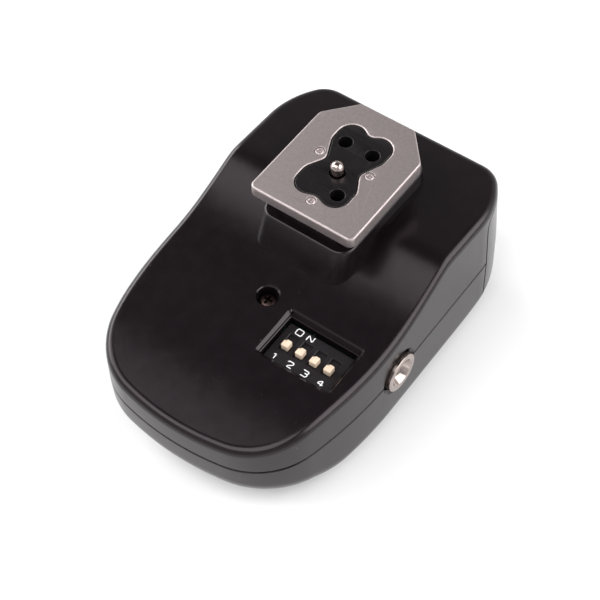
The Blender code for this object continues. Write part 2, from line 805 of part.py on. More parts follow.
def make_jack():
    body = box(
        "sync_jack_body",
        JACK_BODY_X,
        (JACK_Y - JACK_BODY_HALF, JACK_Y + JACK_BODY_HALF),
        (PARTING_Z - 2.6 * MM, PARTING_Z + 2.6 * MM),
        "insert_black",
    )
    cut(
        body,
        rod(
            "plug_way",
            JACK_BORE,
            (JACK_BODY_X[0] + 1.2 * MM, JACK_Y, PARTING_Z),
            (SPAN, JACK_Y, PARTING_Z),
            16,
        ),
    )
    face = JACK_FACE_X
    seat = JACK_BODY_X[1] + GAP
    profile = [
        (2.3 * MM, face),
        (JACK_RADIUS - 0.15 * MM, face),
        (JACK_RADIUS, face - 0.15 * MM),
        (JACK_RADIUS, seat),
        (JACK_BORE, seat),
        (JACK_BORE, face - 0.9 * MM),
        (2.3 * MM, face),
    ]
    turned(
        "sync_jack_nose", profile, (0, JACK_Y, PARTING_Z), "nickel", 28, (0, pi / 2, 0)
    )


def make_dip_switch():
    half = 5.8 * MM
    body = box("dip_switch_body", (DIP_X - half, DIP_X + half), DIP_Y, DIP_Z, "dip_black")
    rest_half = 0.65 * MM
    slot_ys = (SLIDER_Y - rest_half - GAP, SLIDER_Y + rest_half + DIP_TRAVEL + GAP)
    for k in range(4):
        x = DIP_X + (k - 1.5) * DIP_PITCH
        slot_xs = (x - 0.85 * MM, x + 0.85 * MM)
        cut(body, box("dip_slot", slot_xs, slot_ys, (16.4 * MM, 20 * MM)))
        box(
            "dip_slider_%d" % (k + 1),
            (x - 0.6 * MM, x + 0.6 * MM),
            (SLIDER_Y - rest_half, SLIDER_Y + rest_half),
            (16.7 * MM, 18.75 * MM),
            "knob_ivory",
        )


def make_chip():
    """The code chip with two rows of gull-wing legs."""
    xs, ys = (-13.0 * MM, -6.6 * MM), (-17.2 * MM, -7.2 * MM)
    foot_z = BOARD_Z[1] + GAP
    chip = box("encoder_chip", xs, ys, (foot_z + 0.2 * MM, foot_z + 2.2 * MM), "chip_black")
    legs = 7
    for k in range(legs):
        y = ys[0] + (k + 0.5) * (ys[1] - ys[0]) / legs
        leg_ys = (y - 0.2 * MM, y + 0.2 * MM)
        leg_zs = (foot_z, foot_z + 1.0 * MM)
        join(chip, box("chip_leg", (xs[0] - 0.9 * MM, xs[1] + 0.9 * MM), leg_ys, leg_zs))


def make_radio():
    foot_z = BOARD_Z[1] + GAP
    module_zs = (foot_z + 0.9 * MM, foot_z + 1.7 * MM)
    module = box(
        "radio_module_board", (-13.6 * MM, -1.6 * MM), (-34.5 * MM, -24.5 * MM), module_zs, "board_green"
    )
    header = box(
        "pin_header", (-12.6 * MM, -2.6 * MM), (-26.6 * MM, -24.9 * MM), (foot_z, module_zs[1] - GAP)
    )
    join(module, header)
    can_z = module_zs[1] + GAP
    rod(
        "radio_resonator",
        1.9 * MM,
        (-5.2 * MM, -31.0 * MM, can_z),
        (-5.2 * MM, -31.0 * MM, can_z + 1.1 * MM),
        20,
        "spring_steel",
    )
    lie_down = Matrix.Translation((2.6 * MM, -34.5 * MM, foot_z + 1.4 * MM))
    lie_down = lie_down @ Matrix.Rotation(pi / 2, 4, "Y")
    coil(
        "antenna_coil",
        (1.1 * MM, 1.1 * MM),
        (0.0, 6.6 * MM),
        6,
        0.3 * MM,
        lie_down,
        "copper",
        8,
    )


def make_button():
    body_low = BOARD_Z[0] - GAP - 3.4 * MM
    half = 3.0 * MM
    switch = box(
        "tact_switch_body",
        (-half, half),
        (BUTTON_Y - half, BUTTON_Y + half),
        (body_low, BOARD_Z[0] - GAP),
        "chip_black",
    )
    well = rod(
        "plunger_well", 1.75 * MM + GAP, (0, BUTTON_Y, 0), (0, BUTTON_Y, body_low + 1.8 * MM), 20
    )
    cut(switch, well)
    plunger_low = body_low - 0.9 * MM
    rod(
        "tact_switch_plunger",
        1.75 * MM,
        (0, BUTTON_Y, plunger_low),
        (0, BUTTON_Y, body_low + 1.4 * MM),
        20,
        "chip_black",
    )
    stem_top = plunger_low - 0.35 * MM
    flange = 3.2 * MM + GAP
    profile = [
        (0.0, stem_top),
        (1.4 * MM, stem_top),
        (1.4 * MM, flange + 0.8 * MM),
        (BUTTON_RADIUS + 1.0 * MM, flange + 0.8 * MM),
        (BUTTON_RADIUS + 1.0 * MM, flange),
        (BUTTON_RADIUS, flange),
        (BUTTON_RADIUS, 0.9 * MM),
        (BUTTON_RADIUS - 0.5 * MM, 0.5 * MM),
        (0.0, 0.4 * MM),
    ]
    turned("test_button", profile, (0, BUTTON_Y, 0), "casing_black", 28)


def make_led():
    leads_top = BOARD_Z[0] - GAP
    flange_top = 5.6 * MM
    dome = [
        (LED_RADIUS * cos(a), 2.0 * MM - LED_RADIUS * sin(a))
        for a in (pi / 2 * k / 4 for k in range(5))
    ]
    profile = [
        (0.0, flange_top),
        (1.9 * MM, flange_top),
        (1.9 * MM, flange_top - 1.0 * MM),
        (LED_RADIUS, flange_top - 1.0 * MM),
    ] + dome
    led = turned("status_led", profile, (0, LED_Y, 0), "led_red", 16)
    for x in (-1.27 * MM, 1.27 * MM):
        lead_xs = (x - 0.25 * MM, x + 0.25 * MM)
        lead_ys = (LED_Y - 0.25 * MM, LED_Y + 0.25 * MM)
        join(led, box("led_lead", lead_xs, lead_ys, (flange_top - 0.5 * MM, leads_top)))


# ---- Battery --------------------------------------------------------------------------
def make_battery():
    half = CELL_LENGTH / 2
    nub = 1.0 * MM
    profile = [
        (0.0, half + nub),
        (2.6 * MM, half + nub),
        (2.6 * MM, half),
        (CELL_RADIUS - 0.4 * MM, half),
        (CELL_RADIUS, half - 0.4 * MM),
        (CELL_RADIUS, -half + 0.4 * MM),
        (CELL_RADIUS - 0.4 * MM, -half),
        (0.0, -half),
    ]
    turned(
        "battery_cell", profile, (0, CELL_Y, CELL_Z), "cell_label", 28, (0, pi / 2, 0)
    )
    plate_ys = (BAY_WALL_Y + 1.0 * MM + GAP, 13.5 * MM)
    plate_zs = (CELL_Z - 3.6 * MM, CELL_Z + 3.6 * MM)
    thick = 0.4 * MM
    cap_x = half + nub + GAP
    box("cap_contact_plate", (cap_x, cap_x + thick), plate_ys, plate_zs, "nickel")
    spring_x = 17.5 * MM
    box("spring_contact_plate", (-spring_x, thick - spring_x), plate_ys, plate_zs, "nickel")
    wire_radius = 0.25 * MM
    base_x = thick - spring_x + GAP + wire_radius
    tip_x = -half - GAP - wire_radius
    point_inwards = Matrix.Translation((0, CELL_Y, CELL_Z)) @ Matrix.Rotation(pi / 2, 4, "Y")
    coil(
        "battery_spring",
        (2.4 * MM, 1.5 * MM),
        (base_x, tip_x),
        2.5,
        wire_radius,
        point_inwards,
        "spring_steel",
    )


def make_leads():
    pad_z = BOARD_Z[1] + GAP + LEAD_RADIUS
    routes = {
        "positive_lead": [
            (15.55, 8.4, 14.0),
            (15.5, 7.6, 15.4),
            (14.6, 5.6, 15.6),
            (13.0, 4.2, 14.9),
            (12.2, 3.2, 14.2),
        ],
        "negative_lead": [
            (-16.6, 8.4, 14.0),
            (-16.2, 7.4, 15.4),
            (-14.8, 5.4, 15.6),
            (-13.0, 4.0, 14.9),
            (-12.2, 3.0, 14.2),
        ],
        "pin_lead": [
            (-0.4, 5.0, 18.6),
            (-0.8, 6.4, 17.6),
            (-2.4, 6.2, 15.8),
            (-3.4, 4.6, 14.8),
            (-3.6, 3.4, 14.2),
        ],
        "ground_lead": [
            (4.4, 2.0, 23.4),
            (5.0, 3.4, 21.8),
            (5.2, 4.6, 18.6),
            (5.0, 3.8, 15.8),
            (4.6, 2.6, 14.2),
        ],
    }
    for name, route in routes.items():
        anchors = [Vector(p) * MM for p in route]
        anchors[-1].z = pad_z
        colour = "lead_red" if name in ("positive_lead", "pin_lead") else "lead_black"
        wire(name, smooth_route(anchors, 2), LEAD_RADIUS, colour)


make_foot()
make_foot_side_shell()
make_button_side_shell()
make_battery_door()
make_fasteners()
make_board()
make_jack()
make_dip_switch()
make_chip()
make_radio()
make_button()
make_led()
make_battery()
make_leads()
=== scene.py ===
"""Looks of the wireless flash trigger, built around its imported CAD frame.

The pieces stay in the CAD frame: +X is the sync jack side, +Y the battery end and +Z the
foot. Shapes are built in millimetres, and add() turns them into metres. Places come
from the CAD nodes' boxes.
"""

from math import cos, exp, log1p, pi, radians, sin, tan

import bmesh
import bpy
from mathutils import Matrix, Vector
from mathutils.geometry import tessellate_polygon


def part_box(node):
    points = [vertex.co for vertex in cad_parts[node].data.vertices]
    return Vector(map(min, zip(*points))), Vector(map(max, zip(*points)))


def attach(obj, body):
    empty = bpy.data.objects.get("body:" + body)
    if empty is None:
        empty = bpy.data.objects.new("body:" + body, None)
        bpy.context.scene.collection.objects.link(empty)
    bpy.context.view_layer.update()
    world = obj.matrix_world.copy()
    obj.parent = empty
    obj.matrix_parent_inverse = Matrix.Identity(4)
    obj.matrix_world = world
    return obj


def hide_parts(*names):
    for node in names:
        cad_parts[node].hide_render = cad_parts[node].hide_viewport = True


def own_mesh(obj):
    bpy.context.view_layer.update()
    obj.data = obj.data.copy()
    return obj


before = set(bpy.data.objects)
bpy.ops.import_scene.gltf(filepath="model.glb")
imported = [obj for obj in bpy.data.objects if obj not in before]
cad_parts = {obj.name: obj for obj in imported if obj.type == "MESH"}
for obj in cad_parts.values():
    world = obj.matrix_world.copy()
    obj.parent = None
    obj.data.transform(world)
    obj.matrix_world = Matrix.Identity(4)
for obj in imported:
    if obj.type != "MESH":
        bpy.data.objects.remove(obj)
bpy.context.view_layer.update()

MM = 0.001
SCENE = bpy.context.scene
WORK = SCENE.collection


def corners(node):
    """Lowest corner, highest corner and middle of a CAD node, in millimetres."""
    low, high = [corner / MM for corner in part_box(node)]
    return low, high, (low + high) / 2


def middle_of(node):
    return corners(node)[2]


# ---- Shape of the casing, as in the CAD ----
PLATE_LOW, PLATE_HIGH, _ = corners("foot_plate")
PLATE_CORNER = 1.05
HEIGHT = PLATE_HIGH.z
PARTING_Z = middle_of("sync_jack_nose").z
WALL = 1.7
GAP = 0.3
SEAM_SOFT = 0.16  # rounding of the shells' edges along the parting line

LIP_THICK = 0.7
LIP_RISE = 0.9
LIP_LOW_Z = 10.6
LIP_REAR_Y = 6.2

NOSE_Y = corners("button_side_shell")[0].y
# Arcs of the plan outline: radius, turn and steps
PLAN_ARCS = (
    (46.2, radians(11.3), 10), (12.1, radians(64.6), 26), (70.9, radians(14.3), 44),
)
REAR_Y = corners("battery_door")[1].y
REAR_ARCS = ((15.5, radians(34.8), 24), (5.0, radians(55.0), 18))
FLANK_STEPS = 76
WALL_LEAN = 0.035
CAP_EDGE = (0.0, 0.004, 0.015, 0.035)  # tight rows beside the rims of a cap
CAP_MIDDLE = [0.065 + 0.87 * k / 24 for k in range(25)]
CAP_CELLS = [*CAP_EDGE, *CAP_MIDDLE, *(1.0 - share for share in CAP_EDGE[::-1])]

FRONT_Z = 19.3
PLATEAU_Z = 24.25
PLATEAU_FALL = 0.05
SLOPE = 0.42
SLOPE_Y = -12.4
SLOPE_BLEND = 2.6
CREASE_BLEND = 0.25
DROOP = 0.26
DROOP_Y = -31.1
DROOP_BLEND = 1.6
TOP_ROUND = 1.3
INNER_ROUND = 0.3

LAND_FRONT_Y = -25.0
LAND_REAR_Y = 4.0
NOSE_LIFT = 4.5
NOSE_RUN = 13.0
REAR_LIFT = 2.6
REAR_RUN = 14.0
BASE_ROUND = 4.6

SEAM_Y = 10.75
SEAM_TILT = radians(-1.2)
SEAM_TOP_Z = 22.1
SEAM_CORNER = 2.2
BAY_WALL_Y = 6.3

LEDGE_Z = 26.0
NECK_HALF_WIDTH = 6.0
PEDESTAL_CEILING = 24.9
SHANK = 0.8  # half the width of the screws' threads
BUTTON_FLANGE = 1.0
DEEP = 10  # a level inside, where cuts from above may start
SPAN = 60  # longer than the part, for cutters

RIM_STEPS = 4
TUBE_CREASE = 50.0
POLE = 1e-4  # a turned ring thinner than this is a single point


# ---- Mesh helpers ----
def add(name, bm, crease=30.0, unit=MM):
    """Links a finished mesh as an object, smooth apart from edges sharper than crease."""
    bmesh.ops.scale(bm, vec=(unit, unit, unit), verts=bm.verts)
    mesh = bpy.data.meshes.new(name)
    bmesh.ops.recalc_face_normals(bm, faces=bm.faces)
    bm.to_mesh(mesh)
    bm.free()
    mesh.shade_smooth()
    mesh.set_sharp_from_angle(angle=radians(crease))
    obj = bpy.data.objects.new(name, mesh)
    WORK.objects.link(obj)
    return obj


def rounded(points, quarter_steps=6, closed=True):
    """Outline through (x, y, radius) corners, each rounded by an arc."""
    outline = []
    count = len(points)
    for i, (x, y, radius) in enumerate(points):
        here = Vector((x, y))
        if radius == 0.0 or (not closed and i in (0, count - 1)):
            outline.append(here)
            continue
        before = (Vector(points[i - 1][:2]) - here).normalized()
        after = (Vector(points[(i + 1) % count][:2]) - here).normalized()
        half = before.angle(after) / 2
        if half > pi / 2 - 0.01:
            outline.append(here)
            continue
        centre = here + (before + after).normalized() * (radius / sin(half))
        start = here + before * (radius / tan(half)) - centre
        sweep = pi - 2 * half
        if before.x * after.y - before.y * after.x > 0:
            sweep = -sweep
        steps = max(1, round(abs(sweep) / (pi / 2) * quarter_steps))
        for k in range(steps + 1):
            arm = start.copy()
            arm.rotate(Matrix.Rotation(sweep * k / steps, 2))
            outline.append(centre + arm)
    return outline


def rectangle(xs, ys, radius, quarter_steps=6):
    spots = ((xs[0], ys[0]), (xs[1], ys[0]), (xs[1], ys[1]), (xs[0], ys[1]))
    return rounded([(x, y, radius) for x, y in spots], quarter_steps)


def circle(x, y, radius, sides=40):
    turns = [2 * pi * k / sides for k in range(sides)]
    return [Vector((x + radius * cos(t), y + radius * sin(t))) for t in turns]


def area(outline):
    pairs = zip(outline, outline[1:] + outline[:1])
    return sum(a.x * b.y - a.y * b.x for a, b in pairs) / 2


def set_in(outline, distance):
    """The outline moved to the left of its own direction, with mitred corners."""
    moved = []
    count = len(outline)
    for i, here in enumerate(outline):
        before = (here - outline[i - 1]).normalized()
        after = (outline[(i + 1) % count] - here).normalized()
        left = Vector((-before.y - after.y, before.x + after.x)).normalized()
        moved.append(here + left * (distance / max(0.4, left.dot((-after.y, after.x)))))
    return moved


def quarter(steps):
    """(sine, cosine) at even steps over a quarter turn."""
    angles = [pi / 2 * k / steps for k in range(steps + 1)]
    return [(sin(angle), cos(angle)) for angle in angles]


def rim(soft, z, side, steps):
    """(set in, z) levels up a rounded rim; side is 1 on a low rim and -1 on a high one."""
    turns = quarter(steps)[::-side]
    return [(soft * (1 - cosine), z + side * soft * (1 - sine)) for sine, cosine in turns]


def bridge(bm, rings):
    """Faces between each ring of points and the next; a ring of one point is a tip."""
    for one, two in zip(rings, rings[1:]):
        count = max(len(one), len(two))
        for i in range(count):
            j = (i + 1) % count
            if len(one) == 1:
                bm.faces.new((one[0], two[j], two[i]))
            elif len(two) == 1:
                bm.faces.new((one[i], one[j], two[0]))
            else:
                bm.faces.new((one[i], one[j], two[j], two[i]))


def slab(name, outlines, zs, rims=(), levels=None):
    """A flat piece between two heights; outlines after the first are its holes.

    rims holds the rounding of the top and bottom rim of each outline, the last one
    serving for the outlines after it.
    """
    bm = bmesh.new()
    low_rings = []
    high_rings = []
    for n, outline in enumerate(outlines):
        if (area(outline) > 0) != (n == 0):
            outline = outline[::-1]
        ring_levels = levels or [(0.0, zs[0]), (0.0, zs[1])]
        if rims:
            soft_high, soft_low = rims[min(n, len(rims) - 1)]
            ring_levels = rim(soft_low, zs[0], 1, RIM_STEPS)
            ring_levels += rim(soft_high, zs[1], -1, RIM_STEPS)
        rings = []
        for inset, z in ring_levels:
            rings.append([bm.verts.new((*p, z)) for p in set_in(outline, inset)])
        bridge(bm, rings)
        low_rings.append(rings[0])
        high_rings.append(rings[-1])
    for rings, flip in ((low_rings, True), (high_rings, False)):
        verts = [v for ring in rings for v in ring]
        loops = [[v.co for v in ring] for ring in rings]
        for triangle in tessellate_polygon(loops):
            face = [verts[i] for i in triangle]
            bm.faces.new(face[::-1] if flip else face)
    return add(name, bm)


def box(name, xs, ys, zs, soft=0.0):
    """A block with rounded edges, or a plain cutter when soft is zero."""
    bm = bmesh.new()
    size = Vector((xs[1] - xs[0], ys[1] - ys[0], zs[1] - zs[0]))
    middle = Vector((sum(xs) / 2, sum(ys) / 2, sum(zs) / 2))
    place = Matrix.Translation(middle) @ Matrix.Diagonal((*size, 1.0))
    bmesh.ops.create_cube(bm, size=1.0, matrix=place)
    if soft:
        bmesh.ops.bevel(
            bm, geom=bm.edges[:], offset=soft, segments=3, profile=0.5, affect="EDGES"
        )
    return add(name, bm)


def turned(name, profile, centre, axis="Z", sides=48):
    """A solid of revolution from (radius, height) points, listed from one end."""
    turn = {"Z": Matrix.Identity(4), "X": Matrix.Rotation(pi / 2, 4, "Y")}[axis]
    place = Matrix.Translation(centre) @ turn
    bm = bmesh.new()
    rings = []
    for radius, z in profile:
        ring = circle(0.0, 0.0, radius, sides) if radius > POLE else [Vector((0.0, 0.0))]
        rings.append([bm.verts.new(place @ Vector((*p, z))) for p in ring])
    hollow = len(rings[0]) > 1 and len(rings[-1]) > 1
    bridge(bm, rings + rings[:1] if hollow else rings)
    return add(name, bm)


def rod(name, radius, start, end, sides=40):
    """A plain cylinder between two points, for cutting and joining."""
    start, end = Vector(start), Vector(end)
    turn = (end - start).to_track_quat("Z", "Y").to_matrix().to_4x4()
    bm = bmesh.new()
    bmesh.ops.create_cone(
        bm, cap_ends=True, segments=sides, radius1=radius, radius2=radius,
        depth=(end - start).length, matrix=Matrix.Translation((start + end) / 2) @ turn,
    )
    return add(name, bm)


def post(name, radius, spot, low, high, sides=40):
    """An upright cylinder."""
    return rod(name, radius, (spot.x, spot.y, low), (spot.x, spot.y, high), sides)


def loft(name, sections):
    """A closed solid through outlines with equal point counts, listed upwards."""
    bm = bmesh.new()
    rings = []
    for outline, z in sections:
        rings.append([bm.verts.new((*p, z)) for p in outline])
    bridge(bm, rings)
    bm.faces.new(rings[0][::-1])
    bm.faces.new(rings[-1])
    return add(name, bm)


def tube(name, points, radius, sides=12, closed=False, flat=1.0):
    """A round wire along the points; flat squeezes its section along Z."""
    bm = bmesh.new()
    points = [Vector(p) for p in points]
    count = len(points)
    section = circle(0.0, 0.0, radius, sides)
    rings = []
    across = None
    for i, here in enumerate(points):
        before = points[i - 1] if i or closed else here
        after = points[(i + 1) % count] if i < count - 1 or closed else here
        along = (after - before).normalized()
        if across is None:
            across = along.orthogonal().normalized()
            if flat != 1.0:
                across = Vector((0.0, 0.0, 1.0)).cross(along).normalized()
        across = (across - along * across.dot(along)).normalized()
        up = along.cross(across) * flat
        rings.append([bm.verts.new(here + across * p.x + up * p.y) for p in section])
    bridge(bm, rings + rings[:1] if closed else rings)
    if not closed:
        bm.faces.new(rings[0][::-1])
        bm.faces.new(rings[-1])
    return add(name, bm, TUBE_CREASE)


def combine(obj, operation, tools):
    """Joins the tools to the object or cuts them from it, and removes them."""
    for tool in tools:
        modifier = obj.modifiers.new(tool.name, "BOOLEAN")
        modifier.operation = operation
        modifier.object = tool
        modifier.solver = "MANIFOLD"
    depsgraph = bpy.context.evaluated_depsgraph_get()
    mesh = bpy.data.meshes.new_from_object(obj.evaluated_get(depsgraph))
    obj.modifiers.clear()
    obj.data = mesh
    for tool in tools:
        bpy.data.objects.remove(tool, do_unlink=True)
    mesh.shade_smooth()
    mesh.set_sharp_from_angle(angle=radians(30))
    return obj


def cut(obj, *tools):
    return combine(obj, "DIFFERENCE", tools)


def join(obj, *tools):
    return combine(obj, "UNION", tools)


# ---- Casing surface ----
def ramp(distance, blend):
    """Zero before zero and rising at one to one after it, with a soft start."""
    return blend * log1p(exp(distance / blend))


def foot_side_height(y):
    plateau = PLATEAU_Z - PLATEAU_FALL * y
    slope = FRONT_Z + SLOPE * ramp(y - SLOPE_Y, SLOPE_BLEND)
    upper = plateau - ramp(plateau - slope, CREASE_BLEND)
    return upper - DROOP * ramp(DROOP_Y - y, DROOP_BLEND)


def button_side_height(y):
    if y < LAND_FRONT_Y:
        share = min(1.0, (LAND_FRONT_Y - y) / NOSE_RUN)
        return NOSE_LIFT * share**2 * (3 - 2 * share)
    if y > LAND_REAR_Y:
        return REAR_LIFT * ((y - LAND_REAR_Y) / REAR_RUN) ** 2
    return 0.0


def outward(heading):
    """Outward normal of the plan outline where it runs along a heading."""
    return Vector((sin(heading), -cos(heading)))


def follow_arcs(here, heading, arcs):
    """Points and normals along tangent arcs, with the place and heading at their end."""
    rail = []
    for radius, turn, steps in arcs:
        centre = here - outward(heading) * radius
        for k in range(steps):
            normal = outward(heading + turn * k / steps)
            rail.append((centre + normal * radius, normal))
        heading += turn
        here = centre + outward(heading) * radius
    return rail, here, heading


def plan_half():
    """Right half of the plan outline from the nose to the rear corner: (point, normal)."""
    nose, here, heading = follow_arcs(Vector((0.0, NOSE_Y)), 0.0, PLAN_ARCS)
    corner, corner_end, _ = follow_arcs(Vector((0.0, 0.0)), heading, REAR_ARCS)
    normal = outward(heading)
    along = Vector((-normal.y, normal.x))
    flank = (REAR_Y - corner_end.y - here.y) / along.y
    steps = range(FLANK_STEPS)
    straight = [(here + along * (flank * k / FLANK_STEPS), normal) for k in steps]
    start = here + along * flank
    corner.append((corner_end, outward(pi)))
    return nose + straight + [(start + point, normal) for point, normal in corner]


RAIL = plan_half()


def fillet(height, *edge):
    """Levels of a fillet along a height function: (set in, radius, function, lift)."""
    return [(inset, edge[0], height, lift) for inset, lift in rim(*edge)]


def base_fillet(inset, steps):
    return fillet(button_side_height, BASE_ROUND - inset, inset, 1, steps)


def top_fillet(inset, steps):
    radius = max(TOP_ROUND - inset, INNER_ROUND)
    return fillet(foot_side_height, radius, -inset, -1, steps)


PARTING_LEVEL = (0.0, 0.0, None, PARTING_Z)


def seam_fillet(z, side):
    """Levels of the small rounding at the parting line; side is 1 above it."""
    return [(inset, 0.0, None, level) for inset, level in rim(SEAM_SOFT, z, side, RIM_STEPS)]


def cap_rows(bm, ring):
    """Rows of points across the casing, from the nose to the rear edge of a ring."""
    rows = [[ring[0]] * len(CAP_CELLS)]
    last = len(RAIL) - 1
    for i in range(1, last):
        left, right = ring[-i], ring[i]
        spots = [left.co.lerp(right.co, share) for share in CAP_CELLS[1:-1]]
        rows.append([left] + [bm.verts.new(spot) for spot in spots] + [right])
    rows.append(ring[last : last + len(CAP_CELLS)][::-1])
    return rows


def casing_form(name, inset, levels):
    """A closed form through rings set in from the casing's plan outline."""
    bm = bmesh.new()
    rings = []
    for depth, radius, height, lift in levels:
        right = []
        for point, normal in RAIL:
            edge = point - normal * (inset + radius)
            z = lift + (height(edge.y) if height else 0.0)
            lean = WALL_LEAN * max(0.0, z - PARTING_Z)
            place = point - normal * (inset + depth + lean)
            right.append(Vector((place.x, place.y, z)))
        left = [Vector((-p.x, p.y, p.z)) for p in right[:0:-1]]
        rear = [right[-1].lerp(left[0], share) for share in CAP_CELLS[1:-1]]
        rings.append([bm.verts.new(co) for co in right + rear + left])
    bridge(bm, rings)
    for ring, upward in ((rings[0], False), (rings[-1], True)):
        rows = cap_rows(bm, ring)
        for front, rear in zip(rows, rows[1:]):
            for k in range(len(CAP_CELLS) - 1):
                cell = [front[k], front[k + 1], rear[k + 1], rear[k]]
                if front[k] is front[k + 1]:
                    cell = cell[1:]
                bm.faces.new(cell if upward else cell[::-1])
    return add(name, bm)


def door_region(grow):
    """Space taken by the battery cover, seen along X and grown by a clearance."""
    lean = tan(SEAM_TILT)
    top = SEAM_TOP_Z + grow
    low = -5
    edge = SEAM_Y - grow
    outline = [
        (edge + (PARTING_Z - low) * lean, low, 0.0), (SPAN, low, 0.0), (SPAN, top, 0.0),
        (edge + (PARTING_Z - top) * lean, top, SEAM_CORNER + grow),
    ]
    tool = slab("door_region", [rounded(outline, 10)], (-SPAN, SPAN))
    turn = Matrix.Rotation(pi / 2, 4, "Z") @ Matrix.Rotation(pi / 2, 4, "X")
    tool.data.transform(turn)
    return tool


def plan_slab(name, inset, zs, rear_y=None):
    """The casing's plan outline, set in, as a flat piece; rear_y cuts it short."""
    right = [point - normal * inset for point, normal in RAIL[::2]]
    if rear_y is not None:
        right = [p for p in right if p.y < rear_y - 1]
        right.append(Vector((right[-1].x, rear_y)))
    left = [Vector((-p.x, p.y)) for p in right[:0:-1]]
    return slab(name, [right + left], zs)


def jack_clearance():
    """Hole for the sync jack, opening out where it meets the outer wall."""
    _, high, middle = corners("sync_jack_nose")
    radius = high.z - PARTING_Z + GAP
    inner_x = 17
    flare = 0.3
    past = 3
    profile = [
        (0.0, inner_x), (radius, inner_x), (radius, OUTER_JACK_X - flare),
        (radius + flare, OUTER_JACK_X), (radius + flare + past, OUTER_JACK_X + past),
        (0.0, OUTER_JACK_X + past),
    ]
    return turned("jack_hole", profile, (0, middle.y, PARTING_Z), "X", 64)


def flared(name, outline, low, rim, chamfer):
    """A cutter for a window whose rim has a chamfer."""
    high = rim + 3
    levels = [(0.0, low), (0.0, rim - chamfer), (-(high - rim + chamfer), high)]
    return slab(name, [outline], None, levels=levels)


def bow_tie(grow):
    """Outline of the contact insert: two lobed ends joined by a waist."""
    right = [
        (0.0, -5.29, 1.6), (4.65, -6.98, 2.3), (4.65, -1.66, 2.5), (2.95, 1.35, 1.6),
        (4.65, 5.12, 2.5), (4.65, 11.69, 2.3), (0.0, 8.06, 1.5),
    ]
    spots = right + [(-x, y, r) for x, y, r in right[-2:0:-1]]
    return set_in(rounded(spots, 12), -grow)


# ---- Casing pieces ----
OUTER_JACK_X = 20.35
PIN_AXIS = Vector((0.0, 0.0))
CASE_SCREW = middle_of("case_screw")
BOARD_SCREWS = [middle_of("board_screw_" + side) for side in ("left", "right")]
BOARD_LOW, BOARD_HIGH, _ = corners("main_board")
RIVETS = ["foot_rivet_" + side for side in ("left", "right", "front")]
# Radius and drop of points across a rivet's end, in millimetres
RIVET_FACE = (
    (0.0, 0.02), (0.14, 0.04), (0.24, 0.16), (0.36, 0.14),
    (0.46, 0.0), (0.56, -0.02), (0.66, 0.05), (0.75, 0.16),
)
DIP_LOW, DIP_HIGH, _ = corners("dip_switch_body")


def inner_form():
    levels = base_fillet(WALL, 5) + [PARTING_LEVEL] + top_fillet(WALL, 2)
    return casing_form("inner_form", WALL, levels)


def pedestal():
    """The block that carries the foot, with a rounded ledge under the rails."""
    foot = rectangle((-8.6, 8.6), (-11.75, 13.2), 3.1, 8)
    sections = [(foot, 19.5)]
    half, front, rear, corner = 8.1, -9.5, 12.5, 2.6
    soft = 0.5
    for sine, cosine in quarter(5):
        inset = soft * (1 - cosine)
        ys = (front + inset, rear - inset)
        outline = rectangle((inset - half, half - inset), ys, corner - inset, 8)
        sections.append((outline, LEDGE_Z - soft * (1 - sine)))
    return loft("pedestal", sections)


def screw_bosses():
    """Posts over the board, for the case screw and the two board screws."""
    over_board = BOARD_HIGH.z + GAP
    bosses = [post("case_boss", 2.9, CASE_SCREW, over_board, FRONT_Z - 0.8)]
    for spot in BOARD_SCREWS:
        roof = foot_side_height(spot.y) - WALL / 2
        bosses.append(post("board_boss", 2.1, spot, over_board, roof, 24))
    return bosses


def pedestal_core():
    """Room inside the pedestal, round the tube that guides the contact pin."""
    zs = (DEEP, PEDESTAL_CEILING)
    core = box("core", (-6.4, 6.4), (-8.6, 10.8), zs)
    low = corners("centre_pin_terminal")[1].z + GAP
    return cut(core, post("tube", 3.2, PIN_AXIS, low, PEDESTAL_CEILING + WALL))


def foot_side_bores():
    """Holes for the insert, pin, jack, screws and rivets."""
    insert_low = corners("contact_block")[0].z
    holes = [
        slab("pocket", [bow_tie(GAP)], (insert_low - GAP, HEIGHT)),
        post("spring_bore", 2.2, PIN_AXIS, DEEP, HEIGHT),
        jack_clearance(),
        post("screw_passage", SHANK + GAP, CASE_SCREW, DEEP, 18, 24),
    ]
    for name in RIVETS:
        holes.append(post("rivet_hole", 0.85, middle_of(name), 20, HEIGHT, 24))
    for spot in BOARD_SCREWS:
        holes.append(post("pilot", SHANK + GAP, spot, DEEP, 18.2, 20))
    return holes


def front_openings():
    """The screw's sink, and the DIP switch's window in its stepped surround."""
    sink = circle(CASE_SCREW.x, CASE_SCREW.y, 1.75, 56)
    rim = foot_side_height(CASE_SCREW.y)
    step_z = FRONT_Z - 0.55
    corner = 0.12
    xs = (DIP_LOW.x - 0.25, DIP_HIGH.x + 0.25)
    ys = (DIP_LOW.y - GAP, DIP_HIGH.y + 0.4)
    window = rectangle(xs, ys, corner)
    xs = (xs[0] - 0.25, xs[1] + 0.35)
    ys = (ys[0] - 0.2, ys[1] + 0.7)
    surround = rectangle(xs, ys, corner)
    dip_rim = foot_side_height(DIP_LOW.y)
    return [
        flared("screw_sink", sink, 17.3, rim, 0.12),
        flared("dip_window", window, DEEP, step_z, 0.1),
        flared("dip_surround", surround, step_z, dip_rim, 0.1),
    ]


